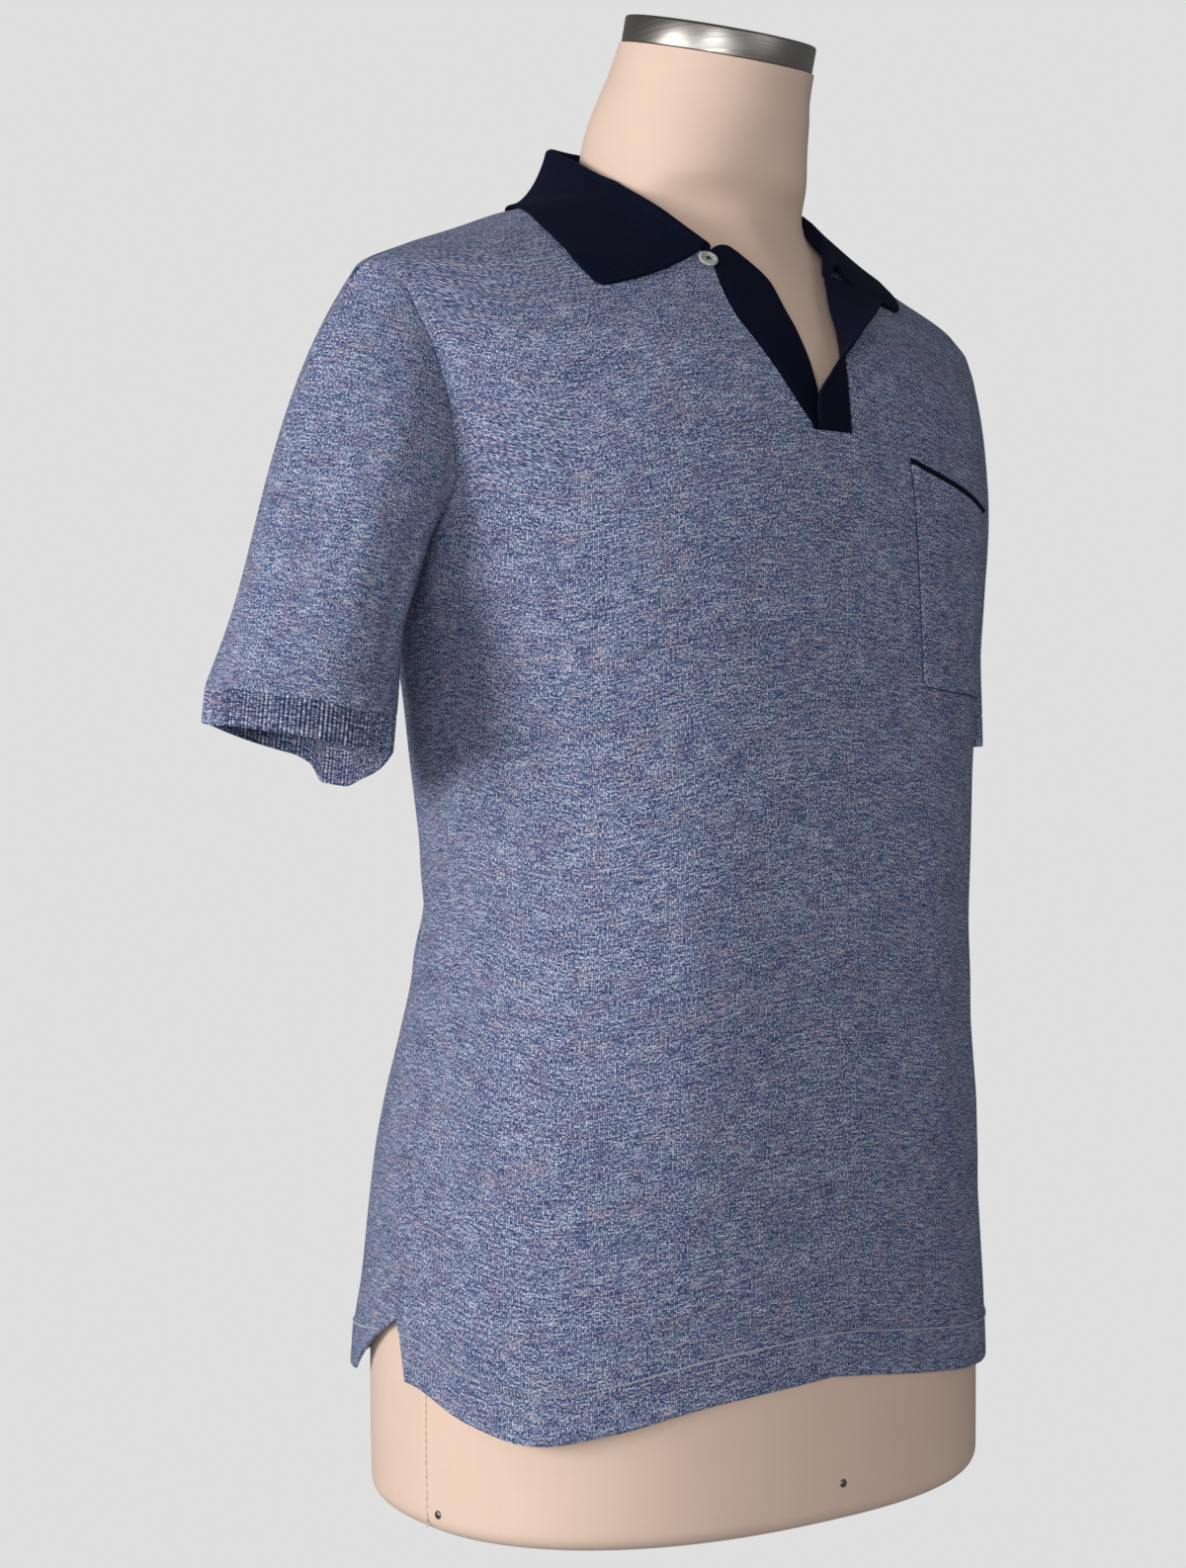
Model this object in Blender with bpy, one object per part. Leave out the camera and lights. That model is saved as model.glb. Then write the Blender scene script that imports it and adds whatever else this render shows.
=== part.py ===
"""Short-sleeved knitted polo shirt on a limbless tailor's dress form.

Every size and table below is in millimetres; the finished meshes are in metres.
Frame: +Z up, the shirt faces -Y, +X is the wearer's left, and the origin is the
centre of the form's flat underside.

The shirt's cloth follows one smooth surface of horizontal rings. A point on it is
named by its height and its angle round the body: 0 at the centre front, 90 degrees
at the wearer's left side, -90 at the right side and 180 at the centre back.
"""
import math

import bpy
import numpy as np

MM = 0.001

# Cloth walls, and the gaps between pieces
JERSEY_WALL = 1.6
TRIM_WALL = 2.0
HEM_WALL = 2.4
SEAM_GAP = 0.3
LAY_GAP = 0.8
FORM_GAP = 0.9
LEAST_MITRE = 0.55

# Heights of the main lines
UNDERARM_Z = 500.0
NECK_POINT_Z = 727.0
BACK_NECK_Z = 738.0
OPENING_BASE_Z = 587.0
OPENING_TOP_Z = 682.0
OPENING_HALF_WIDTH = 14.0
HEM_BAND = 24.5
# Where the first row above the hem seam lies, as a share of the way to the underarm
VENT_ROW = 0.036

# Rows and columns of the panels
BODY_ROWS = 12
CHEST_ROWS, OPENING_ROWS, NECK_ROWS = 5, 6, 7
BACK_RISE_ROWS = 11
ARMHOLE_ROWS = CHEST_ROWS + OPENING_ROWS + NECK_ROWS
PANEL_COLUMNS = 12
SLEEVE_ROWS = 8
HEM_ROWS = 2

# The shirt's outer surface
# height, half_width, side_y, front_y, back_y, front_n, back_n
SHIRT_RINGS = [
    (0.0, 188, 8, -122, 162, 2.3, 2.3),
    (60.0, 190, 8, -122, 173, 2.3, 2.3),
    (86.0, 190, 8, -122, 172, 2.3, 2.3),
    (121.0, 187, 8, -124, 166, 2.3, 2.3),
    (155.0, 184, 8, -124, 163, 2.3, 2.3),
    (189.0, 180, 8, -126, 160, 2.35, 2.3),
    (223.0, 176, 7, -128, 150, 2.35, 2.3),
    (257.0, 169, 6, -127, 141, 2.45, 2.3),
    (291.0, 164, 6, -130, 128, 2.5, 2.3),
    (326.0, 160, 6, -133, 121, 2.5, 2.3),
    (360.0, 161, 6, -134, 121, 2.5, 2.3),
    (394.0, 164, 6, -132, 126, 2.5, 2.3),
    (411.0, 166, 6, -130, 128, 2.5, 2.3),
    (450.0, 171, 6, -128, 130, 2.5, 2.3),
    (478.0, 177, 6, -128, 131, 2.4, 2.3),
    (500.0, 186, 6, -128, 132, 2.3, 2.3),
    (520.0, 189, 6, -128, 132, 2.2, 2.3),
    (550.0, 193, 6, -127, 132, 2.15, 2.3),
    (588.0, 199, 6, -122, 130, 2.0, 2.2),
    (624.0, 209, 7, -113, 123, 1.8, 2.2),
    (645.0, 218, 8, -103, 113, 1.6, 2.1),
    (660.0, 221, 9, -93, 103, 1.45, 2.0),
    (673.0, 215, 13, -85, 95, 1.38, 1.8),
    (690.0, 182, 20, -73, 88, 1.38, 1.7),
    (703.0, 149, 23, -65, 82, 1.4, 1.7),
    (715.0, 120, 23, -58, 77, 1.45, 1.8),
    (722.0, 98, 20, -55, 74, 1.55, 1.9),
    (727.0, 82, 14, -52, 71, 1.7, 2.0),
    (738.0, 66, 8, -50, 65, 2.0, 2.1),
    (750.0, 62, 7, -51, 61, 2.0, 2.0),
]

# Armhole on the rings, from the underarm up to the shoulder tip
# height, front_y, back_y
ARMHOLE = [
    (500.0, 6.0, 6.0),
    (506.0, -3.0, 17.0),
    (516.0, -10.0, 28.0),
    (530.0, -19.0, 38.0),
    (544.0, -31.0, 45.0),
    (560.0, -37.0, 50.0),
    (588.0, -36.0, 53.0),
    (624.0, -30.0, 48.0),
    (655.0, -17.0, 33.0),
    (668.0, -4.0, 22.0),
    (673.0, 10.0, 10.0),
]

# Edges of the front opening and the front neckline, as distances from the centre
# height, right_x, left_x
FRONT_EDGE = [
    (490.0, 14.0, 14.0),
    (587.0, 14.0, 14.0),
    (600.0, 21.5, 15.0),
    (615.0, 30.0, 17.0),
    (633.0, 39.5, 20.0),
    (651.0, 45.5, 25.0),
    (667.0, 45.0, 31.0),
    (682.0, 43.0, 39.0),
    (706.0, 62.0, 62.0),
    (727.0, 82.0, 82.0),
]

# Back neckline: angle in degrees, height
BACK_NECKLINE = [
    (90.0, 727.0),
    (120.0, 731.5),
    (150.0, 736.5),
    (180.0, 738.0),
]

# Hem edge round the body, and how far the cloth stands off the rings there
# angle_from_front, right_height, left_height, right_stand_off, left_stand_off
HEM = [
    (0.0, 80.0, 80.0, 0.0, 0.0),
    (20.0, 74.0, 71.0, 1.0, 0.0),
    (40.0, 63.0, 64.0, 5.0, 1.0),
    (53.0, 58.5, 62.0, 9.0, 1.5),
    (70.0, 66.0, 67.0, 5.0, 0.5),
    (90.0, 78.5, 78.5, 0.0, 0.0),
    (112.0, 72.0, 72.0, 3.0, 3.0),
    (130.0, 68.0, 68.0, 2.0, 2.0),
    (180.0, 70.0, 70.0, 1.0, 1.0),
]
# Side lines of the two panels: they part below the vent's top
# height, front_angle, back_angle
SIDE_LINE = [
    (64.0, 90.0, 114.0),
    (74.0, 90.0, 112.0),
    (88.0, 90.5, 105.5),
    (100.0, 91.5, 98.5),
    (111.0, 93.0, 93.0),
    (118.0, 93.0, 93.0),
    (300.0, 92.0, 92.0),
    (500.0, 90.0, 90.0),
]
STAND_OFF_BASE, STAND_OFF_HEIGHT = 60.0, 90.0

# Sleeves: the cuff's centre, the slope of its open end, its lean from vertical, its half sizes,
# its turn about the vertical, and how far the sleeve bows out below the shoulder tip
# side, centre_x, centre_y, centre_z, slope, lean, half_across, half_along, turn, bow_top, bow_end
SLEEVES = {
    "right": (-1, 257.5, 5.0, 412.5, 18.0, 6.0, 49.0, 56.0, 0.0, 58.0, 34.0),
    "left": (1, 212.0, 32.0, 420.0, 3.0, 2.0, 30.0, 66.0, 25.0, 45.0, 0.0),
}
# How much of its bow each side of the sleeve takes, and how far it leaves the body at the armhole;
# the armpit's front is tucked in
# turn_from_underarm, right_share, left_share, right_lift, left_lift
SLEEVE_BOW = [
    (0.0, 0.0, 0.0, 6.0, 12.0),
    (45.0, -0.7, -0.7, 14.0, 40.0),
    (80.0, 0.3, 0.3, 8.0, 40.0),
    (120.0, 0.8, 0.8, 0.0, 8.0),
    (180.0, 1.0, 1.0, 0.0, 0.0),
    (240.0, 0.8, 0.8, 0.0, 0.0),
    (290.0, 0.4, 0.4, 0.0, 0.0),
    (330.0, 0.0, 0.0, 3.0, 6.0),
    (360.0, 0.0, 0.0, 6.0, 12.0),
]
# How far the right cuff's edge rises above its plane round the arm
# turn_from_underarm, rise
CUFF_RISE = [
    (0.0, 6.0),
    (30.0, 14.0),
    (60.0, 9.0),
    (90.0, 4.0),
    (120.0, 2.0),
    (150.0, 0.0),
    (180.0, 0.0),
    (210.0, 4.0),
    (240.0, 8.0),
    (270.0, 9.0),
    (300.0, 9.5),
    (312.0, 7.0),
    (322.0, -2.0),
    (336.0, -2.0),
    (350.0, 3.0),
    (360.0, 6.0),
]
CUFF_BAND = 19.0
CUFF_WALL = 1.8
# Ribs of the cuffs: how many of them lie over each column of the plain inside, and their height
RIBS_PER_COLUMN = 4
RIB_HEIGHT = 0.4

# Free edges of the two placket strips
# height, free_x, free_height, sink
RIGHT_STRIP = [
    (587.0, -6.0, 587.4, 2.0),
    (602.8, -4.0, 603.0, 2.5),
    (618.7, -5.0, 619.0, 2.5),
    (634.5, -7.0, 636.0, 2.0),
    (650.3, -9.0, 654.0, 1.5),
    (666.2, -11.0, 672.0, 1.0),
    (682.0, -24.0, 690.0, 0.5),
]
# height, free_x, free_y, free_z, curl
LEFT_STRIP = [
    (587.0, -12.5, -126.0, 587.5, 0.0),
    (602.8, -12.0, -125.0, 603.0, 2.0),
    (618.7, -4.0, -127.5, 618.0, 8.0),
    (634.5, 8.0, -127.0, 631.0, 15.0),
    (650.3, 24.0, -121.0, 645.0, 20.0),
    (666.2, 42.0, -110.0, 657.0, 20.0),
    (682.0, 56.0, -98.0, 666.0, 18.0),
]
STRIP_COLUMNS = 5

# Collar at stations along the neck seam: 0 front end, 0.5 neck point, 1 centre back
# station, fold_x, fold_y, fold_z, edge_x, edge_y, edge_z, sag
COLLAR_RIGHT = [
    (0.0, 43.5, -66.5, 692.0, 114.0, -63.0, 660.0, 12.0),
    (0.2, 59.5, -51.0, 709.0, 117.0, -44.0, 671.0, 6.0),
    (0.4, 68.0, -19.0, 729.5, 118.0, -18.0, 696.0, 4.0),
    (0.5, 70.0, 2.0, 740.0, 117.0, -2.0, 710.0, 5.0),
    (0.6, 68.5, 24.0, 751.0, 111.0, 24.0, 720.0, 8.0),
    (0.7, 64.0, 47.0, 761.0, 98.0, 49.0, 724.0, 9.0),
    (0.8, 53.0, 66.0, 768.0, 77.0, 71.0, 728.0, 9.0),
    (0.9, 29.0, 77.0, 770.5, 41.0, 87.0, 731.0, 8.0),
    (1.0, 0.0, 79.0, 771.0, 0.0, 90.0, 732.0, 8.0),
]
COLLAR_LEFT = [
    (0.0, 44.0, -74.0, 689.0, 103.0, -62.0, 671.0, 8.0),
    (0.2, 57.0, -52.0, 703.0, 110.0, -42.0, 680.0, 10.0),
    (0.4, 67.0, -19.0, 724.0, 116.0, -18.0, 697.0, 8.0),
] + COLLAR_RIGHT[3:]
# How far the collar's ends stop short of the opening
COLLAR_END_GAP = 0.9
FOLD_RADIUS = 3.2
STAND_POINTS, LEAF_POINTS = 3, 6

# Chest pocket on the wearer's left: height of its corners and their distance from the centre
# x, top_z, bottom_z
POCKET = [
    (58.0, 574.0, 452.0),
    (84.0, 567.0, 450.0),
    (110.0, 561.0, 449.0),
    (142.0, 554.0, 447.0),
]
POCKET_LEAN = 6.0
POCKET_ROWS, POCKET_COLUMNS = 7, 10
POCKET_WALL = 1.4
PIPING_HEIGHT, PIPING_WALL = 3.0, 2.2

BUTTON_X, BUTTON_Z = -45.5, 681.5
BUTTON_STANDS = 0.7
# Turned profile of the button: radius, height
BUTTON_PROFILE = [
    (0.0, 0.0),
    (4.4, 0.0),
    (5.4, 0.7),
    (5.7, 1.4),
    (5.3, 2.1),
    (4.4, 2.3),
    (3.4, 1.7),
    (0.0, 1.5),
]
BUTTON_SIDES = 20

# The dress form's own rings; the last column tips each ring forwards
# height, half_width, side_y, front_y, back_y, front_n, back_n
FORM_RINGS = [
    (0.0, 183.5, 8, -121, 155, 2.3, 2.3),
    (60.0, 184.5, 8, -120, 156, 2.3, 2.3),
    (120.0, 183, 8, -119, 157, 2.3, 2.3),
    (180.0, 175, 8, -117, 150, 2.3, 2.3),
    (240.0, 161, 7, -113, 132, 2.3, 2.2),
    (300.0, 150, 6, -111, 114, 2.3, 2.2),
    (360.0, 148, 5, -114, 106, 2.3, 2.2),
    (420.0, 155, 5, -119, 113, 2.3, 2.2),
    (480.0, 165, 5, -122, 121, 2.3, 2.2),
    (540.0, 172, 6, -121, 127, 2.3, 2.2),
    (590.0, 179, 6, -112, 122, 2.2, 2.2),
    (640.0, 190, 8, -96, 107, 1.9, 2.1),
    (673.0, 196, 12, -79, 90, 1.5, 1.9),
    (727.0, 72, 14, -50, 64, 1.8, 2.0),
    (733.0, 63.5, 11, -51, 61.5, 1.9, 2.0),
    (738.0, 61.5, 8, -54, 60, 2.0, 2.0),
    (750.0, 62.5, 5, -59, 63, 2.0, 2.0),
    (765.0, 63.5, -1, -65, 61, 2.0, 2.0),
    (780.0, 60.8, -7, -68.5, 51.5, 2.0, 2.0),
    (795.0, 57.5, -14, -71.5, 42.5, 2.0, 2.0),
    (810.6, 55.3, -21, -76.3, 34.3, 2.0, 2.0),
]
# height, tilt_degrees
FORM_TILT = [
    (727.0, 0.0),
    (750.0, 6.0),
    (780.0, 12.0),
    (810.6, 16.5),
]
# How much further the form lies inside the shirt: all round, and away from the shoulder line
# height, all_round, off_shoulder_line
FORM_INSET = [
    (600.0, 1.0, 2.0),
    (676.0, 2.0, 3.0),
    (692.0, 0.0, 4.0),
    (712.0, 0.0, 4.5),
    (722.0, 1.0, 4.0),
    (727.0, 2.5, 3.0),
]
FORM_FOOT_RADIUS = 10.0
FORM_SIDES = 42
FORM_ROWS = [40, 96, 152, 208, 264, 320, 376, 432, 488, 544, 590, 610, 628, 644, 658, 670, 681,
             691, 700, 708, 715, 721, 727, 730, 733, 738, 744, 752, 764, 778, 794]
CARRY_START, CARRY_SPAN, CARRY_SIDE_RISE = 600.0, 35.0, 40.0
CARRY_END = 727.0

CAP_RADIUS, CAP_HEIGHT, CAP_BEVEL = 55.0, 15.0, 1.2
CAP_SIDES = 40


def read(table, key):
    """Return a table's columns at the given keys, on a smooth curve through its rows."""
    rows = np.asarray(table, float)
    keys, columns = rows[:, 0], rows[:, 1:]
    slopes = np.diff(columns, axis=0) / np.diff(keys)[:, None]
    product = slopes[1:] * slopes[:-1]
    total = np.where(product > 0, slopes[1:] + slopes[:-1], 1.0)
    tangents = np.vstack([slopes[:1], np.where(product > 0, 2 * product / total, 0.0), slopes[-1:]])
    key = np.clip(np.asarray(key, float), keys[0], keys[-1])
    i = np.clip(np.searchsorted(keys, key, side="right") - 1, 0, len(keys) - 2)
    span = (keys[i + 1] - keys[i])[..., None]
    t = (key[..., None] - keys[i][..., None]) / span
    return hermite(columns[i], columns[i + 1], tangents[i] * span, tangents[i + 1] * span, t)


def hermite(start, end, lead, tail, t):
    """Return points on the cubic between two points with the given end tangents."""
    return ((2 * t**3 - 3 * t**2 + 1) * start + (t**3 - 2 * t**2 + t) * lead
            + (3 * t**2 - 2 * t**3) * end + (t**3 - t**2) * tail)


def unit(vectors):
    """Return vectors scaled to length one."""
    return vectors / np.linalg.norm(vectors, axis=-1, keepdims=True)


def ring_point(rings, z, angle):
    """Return the point of a table of rings at a height and an angle in radians."""
    z, angle = np.broadcast_arrays(np.asarray(z, float), np.asarray(angle, float))
    half_width, side_y, front_y, back_y, front_n, back_n = np.moveaxis(read(rings, z), -1, 0)
    sine, cosine = np.sin(angle), np.cos(angle)
    n = np.where(cosine > 0, front_n, back_n)
    depth = np.where(cosine > 0, side_y - front_y, back_y - side_y)
    x = half_width * np.sign(sine) * np.abs(sine) ** (2 / n)
    y = side_y - depth * np.sign(cosine) * np.abs(cosine) ** (2 / n)
    return np.stack([x, y, z], -1)


def angle_at_x(z, x):
    """Return the front angle where the shirt's ring at a height is x from the centre."""
    row = read(SHIRT_RINGS, z)
    return np.arcsin(np.clip(np.abs(x) / row[..., 0], 0, 1) ** (row[..., 4] / 2))


def angle_at_y(z, y):
    """Return the angle from the centre front where the ring at a height has the given y."""
    half_width, side_y, front_y, back_y, front_n, back_n = np.moveaxis(read(SHIRT_RINGS, z), -1, 0)
    front = y < side_y
    depth = np.where(front, side_y - front_y, back_y - side_y)
    n = np.where(front, front_n, back_n)
    cosine = np.clip(np.abs(y - side_y) / depth, 0, 1) ** (n / 2)
    return np.where(front, np.arccos(cosine), math.pi - np.arccos(cosine))


def stand_off(z, angle):
    """Return how far the cloth stands out from the rings near the hem."""
    row = read(HEM, np.degrees(np.abs(angle)))
    out = np.where(np.asarray(angle) < 0, row[..., 2], row[..., 3])
    fade = np.clip(1 - (z - STAND_OFF_BASE) / STAND_OFF_HEIGHT, 0, 1)
    return out * fade**2


def shirt_point(z, angle):
    """Return the shirt's outer surface, with the cloth's stand-off near the hem."""
    point = ring_point(SHIRT_RINGS, z, angle)
    outward = point[..., :2] - np.array([0.0, 8.0])
    outward = unit(outward) * stand_off(np.asarray(z, float), angle)[..., None]
    point[..., :2] += outward
    return point


def shirt_normal(z, angle):
    """Return the shirt's outward normal, from small steps in height and angle."""
    step_z, step_angle = 0.6, 0.01
    along = shirt_point(z, angle + step_angle) - shirt_point(z, angle - step_angle)
    up = shirt_point(np.add(z, step_z), angle) - shirt_point(np.subtract(z, step_z), angle)
    return unit(np.cross(along, up))


def grid_normals(points, closed=False):
    """Return the normals of a grid of points whose columns run round the piece."""
    if closed:
        across = np.roll(points, -1, axis=1) - np.roll(points, 1, axis=1)
    else:
        across = np.gradient(points, axis=1)
    return unit(np.cross(across, np.gradient(points, axis=0)))


def ring_normals(points):
    """Return the outward normals of a closed ring piece, whose columns run round it."""
    normals = grid_normals(points, closed=True)
    middle = points.mean(axis=1, keepdims=True)
    return normals * np.sign(np.einsum("ijk,ijk->ij", normals, points - middle).sum())


def pull_back(points, axis, end, distance=SEAM_GAP / 2):
    """Move one border of a grid of points back into the piece by half a seam gap."""
    rows = np.moveaxis(points, axis, 0)
    edge, inside = (0, 1) if end == 0 else (-1, -2)
    rows[edge] = rows[edge] + unit(rows[inside] - rows[edge]) * distance


def quads_of(rows, columns, closed):
    """Return the four corner indices of each face of a grid."""
    index = np.arange(rows * columns).reshape(rows, columns)
    if closed:
        index = np.concatenate([index, index[:, :1]], axis=1)
    corners = (index[:-1, :-1], index[:-1, 1:], index[1:, 1:], index[1:, :-1])
    return np.stack([corner.ravel() for corner in corners], -1)


def material(name, colour, roughness, metallic=0.0):
    """Return a Principled material, made once for each name."""
    if name in bpy.data.materials:
        return bpy.data.materials[name]
    made = bpy.data.materials.new(name)
    made.use_nodes = True
    shader = made.node_tree.nodes["Principled BSDF"]
    shader.inputs["Base Color"].default_value = (*colour, 1.0)
    shader.inputs["Roughness"].default_value = roughness
    shader.inputs["Metallic"].default_value = metallic
    return made


def heather_jersey():
    """Blue and off-white mélange jersey."""
    return material("heather_jersey", (0.16, 0.20, 0.34), 0.9)


def navy_knit():
    """Dark navy knitted trim."""
    return material("navy_knit", (0.010, 0.014, 0.045), 0.9)


def add_mesh(name, points, faces, finish):
    """Make one named object from points in millimetres, with its faces outwards."""
    mesh = bpy.data.meshes.new(name)
    mesh.from_pydata((points * MM).tolist(), [], faces)
    corners = np.array([[points[f[0]], points[f[i]], points[f[i + 1]]]
                        for f in faces for i in range(1, len(f) - 1)])
    volume = np.einsum("ij,ij->i", corners[:, 0], np.cross(corners[:, 1], corners[:, 2])).sum()
    if volume < 0:
        mesh.flip_normals()
    mesh.materials.append(finish)
    mesh.shade_smooth()
    mesh.set_sharp_from_angle(angle=math.radians(50))
    made = bpy.data.objects.new(name, mesh)
    bpy.context.collection.objects.link(made)
    return made


def wall(name, grids, finish, closed=False):
    """Make a cloth wall from grids of (outer, inner) points, welded where they share points."""
    outer = np.concatenate([g[0].reshape(-1, 3) for g in grids])
    inner = np.concatenate([g[1].reshape(-1, 3) for g in grids])
    keys, first, place = np.unique(np.round(outer, 3), axis=0, return_index=True, return_inverse=True)
    place = place.reshape(-1)
    faces, start = [], 0
    for grid, _ in grids:
        rows, columns = grid.shape[:2]
        quads = place[quads_of(rows, columns, closed) + start]
        faces += [tuple(dict.fromkeys(q)) for q in quads.tolist()]
        start += rows * columns
    faces = [f for f in faces if len(f) > 2]
    count = len(keys)
    edges = {(f[i], f[(i + 1) % len(f)]) for f in faces for i in range(len(f))}
    border = [edge for edge in edges if edge[::-1] not in edges]
    back = [tuple(count + i for i in reversed(f)) for f in faces]
    rim = [(b, a, a + count, b + count) for a, b in sorted(border)]
    return add_mesh(name, np.concatenate([outer[first], inner[first]]), faces + back + rim, finish)


def armhole_rows():
    """Return heights and front and back angles of the armhole's rows, underarm to tip."""
    fine = np.linspace(ARMHOLE[0][0], ARMHOLE[-1][0], 400)
    y = read(ARMHOLE, fine)
    path = ring_point(SHIRT_RINGS, fine, angle_at_y(fine, y[:, 0]))
    length = np.concatenate([[0.0], np.cumsum(np.linalg.norm(np.diff(path, axis=0), axis=1))])
    heights = np.interp(np.linspace(0, length[-1], ARMHOLE_ROWS + 1), length, fine)
    front_y, back_y = read(ARMHOLE, heights).T
    front, back = angle_at_y(heights, front_y), angle_at_y(heights, back_y)
    front[[0, -1]] = back[[0, -1]] = math.pi / 2
    return heights, front, back


def sleeve_loop(side):
    """Return the armhole as a closed loop: underarm, front, shoulder tip, back."""
    heights, front, back = armhole_rows()
    z = np.concatenate([heights, heights[-2:0:-1]])
    angle = side * np.concatenate([front, back[-2:0:-1]])
    return z, angle


def sleeve_frame(side_name):
    """Return the cuff's centre, its axis pointing down the arm, and its outward direction."""
    side, x, y, z, slope, lean = SLEEVES[side_name][:6]
    slope, lean = math.radians(slope), math.radians(lean)
    axis = np.array([side * math.sin(lean), 0.0, -math.cos(lean)])
    outward = np.array([side * math.cos(slope), 0.0, math.sin(slope)])
    return np.array([side * x, y, z]), axis, outward


def cuff_ring(side_name, turn, along):
    """Return the cuff's ring of points, `along` millimetres up from its open edge."""
    centre, axis, outward = sleeve_frame(side_name)
    side, half_across, half_along, yaw = (SLEEVES[side_name][i] for i in (0, 6, 7, 8))
    yaw = -side * math.radians(yaw)
    swing = np.array([[math.cos(yaw), -math.sin(yaw), 0], [math.sin(yaw), math.cos(yaw), 0], [0, 0, 1]])
    forward = swing @ np.array([0.0, -1.0, 0.0])
    rise = along + (read(CUFF_RISE, np.degrees(turn))[:, 0] if side < 0 else 0.0)
    return (centre - axis * np.reshape(rise, (-1, 1)) - np.cos(turn)[:, None] * half_across * (swing @ outward)
            + np.sin(turn)[:, None] * half_along * forward)


def loop_turns(loop):
    """Return each loop point's turn round the sleeve: 0 underarm, pi at the top."""
    steps = np.linalg.norm(np.roll(loop, -1, axis=0) - loop, axis=1)
    half = ARMHOLE_ROWS
    front = np.concatenate([[0.0], np.cumsum(steps[:half])]) / steps[:half].sum() * math.pi
    back = math.pi + np.concatenate([[0.0], np.cumsum(steps[half:])]) / steps[half:].sum() * math.pi
    return np.concatenate([front, back[1:-1]])


def sleeve_points(side_name):
    """Return the sleeve's grid of outer points, from the armhole to the cuff's seam."""
    side = SLEEVES[side_name][0]
    bow_top, bow_end = SLEEVES[side_name][9:]
    z, angle = sleeve_loop(side)
    loop = shirt_point(z, angle)
    turn = loop_turns(loop)
    end = cuff_ring(side_name, turn, CUFF_BAND + SEAM_GAP)
    _, axis, outward = sleeve_frame(side_name)
    chord = end - loop
    length = np.linalg.norm(chord, axis=1, keepdims=True)
    radial = unit(-np.cos(turn)[:, None] * outward + np.sin(turn)[:, None] * np.array([0.0, -1.0, 0.0]))
    top = (1 - np.cos(turn))[:, None] / 2
    column = 0 if side < 0 else 1
    bow = read(SLEEVE_BOW, np.degrees(turn))
    share, lift = bow[:, [column]], bow[:, [column + 2]]
    lead = chord + radial * bow_top * share + shirt_normal(z, angle) * lift
    tail = 0.5 * chord + 0.5 * length * axis + radial * bow_end * top
    t = np.linspace(0, 1, SLEEVE_ROWS + 1)[:, None, None]
    return hermite(loop[None], end[None], lead[None], tail[None], t)


def armhole_mitre(side_name):
    """Return the seam's shared direction at the armhole and its mitre stretch."""
    side = SLEEVES[side_name][0]
    z, angle = sleeve_loop(side)
    body = shirt_normal(z, angle)
    points = sleeve_points(side_name)
    sleeve = grid_normals(points, closed=True)[0]
    middle = points[0].mean(axis=0)
    sleeve *= np.sign(np.einsum("ij,ij->i", sleeve, points[0] - middle))[:, None]
    shared = unit(body + sleeve)
    stretch = 1 / np.maximum(np.einsum("ij,ij->i", shared, body), LEAST_MITRE)
    return shared * stretch[:, None]


def make_sleeve(side_name):
    """Make one sleeve from the armhole down to its cuff seam."""
    outer = sleeve_points(side_name)
    normals = ring_normals(outer)
    z, angle = sleeve_loop(SLEEVES[side_name][0])
    turn = loop_turns(shirt_point(z, angle))
    cuff = np.array([cuff_ring(side_name, turn, along) for along in (CUFF_BAND, 0.0)])
    normals[-1] = ring_normals(cuff)[0]
    pull_back(outer, 0, 0, SEAM_GAP)
    normals[0] = armhole_mitre(side_name)
    inner = outer - normals * JERSEY_WALL
    return wall(f"sleeve_{side_name}", [(outer, inner)], heather_jersey(), closed=True)


def make_cuff(side_name):
    """Make one knitted cuff band: upright ribs outside over a plain inside."""
    side = SLEEVES[side_name][0]
    z, angle = sleeve_loop(side)
    turn = loop_turns(shirt_point(z, angle))
    count, step = len(turn), 2 * RIBS_PER_COLUMN
    ring = np.array([cuff_ring(side_name, turn, along) for along in (CUFF_BAND, 0.0)])
    normals = ring_normals(ring)
    inner = ring - normals * CUFF_WALL
    share = np.arange(step)[:, None] / step
    trough = np.tile(np.arange(step) % 2, count)[:, None] * RIB_HEIGHT
    ring, normals = ((grid[:, :, None] * (1 - share) + np.roll(grid, -1, axis=1)[:, :, None] * share)
                     .reshape(2, count * step, 3) for grid in (ring, normals))
    outer = ring - unit(normals) * trough
    fine = count * step
    faces = quads_of(2, fine, True).tolist()
    faces += [[2 * fine + i for i in reversed(quad)] for quad in quads_of(2, count, True).tolist()]
    for row, turned_over in ((0, False), (1, True)):
        first, plain = row * fine, 2 * fine + row * count
        for i in range(count):
            fan = [(plain + i, first + (i * step + k + 1) % fine, first + i * step + k)
                   for k in range(step)]
            fan.append((plain + i, plain + (i + 1) % count, first + (i + 1) * step % fine))
            faces += [face[::-1] if turned_over else face for face in fan]
    points = np.concatenate([outer.reshape(-1, 3), inner.reshape(-1, 3)])
    return add_mesh(f"cuff_{side_name}", points, faces, heather_jersey())


def hem_height(angle, side):
    """Return the hem edge's height at an angle on one side."""
    return read(HEM, np.degrees(np.abs(angle)))[..., 0 if side < 0 else 1]


def side_line(face, z):
    """Return the angle of a panel's side edge at a height, in radians."""
    return np.radians(read(SIDE_LINE, z)[..., 0 if face == "front" else 1])


def joined(right, left):
    """Join two halves, each from the centre to the side, over a shared centre column."""
    centre = (right[:, :1] + left[:, :1]) / 2
    return np.concatenate([right[:, :0:-1], centre, left[:, 1:]], axis=1)


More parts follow.
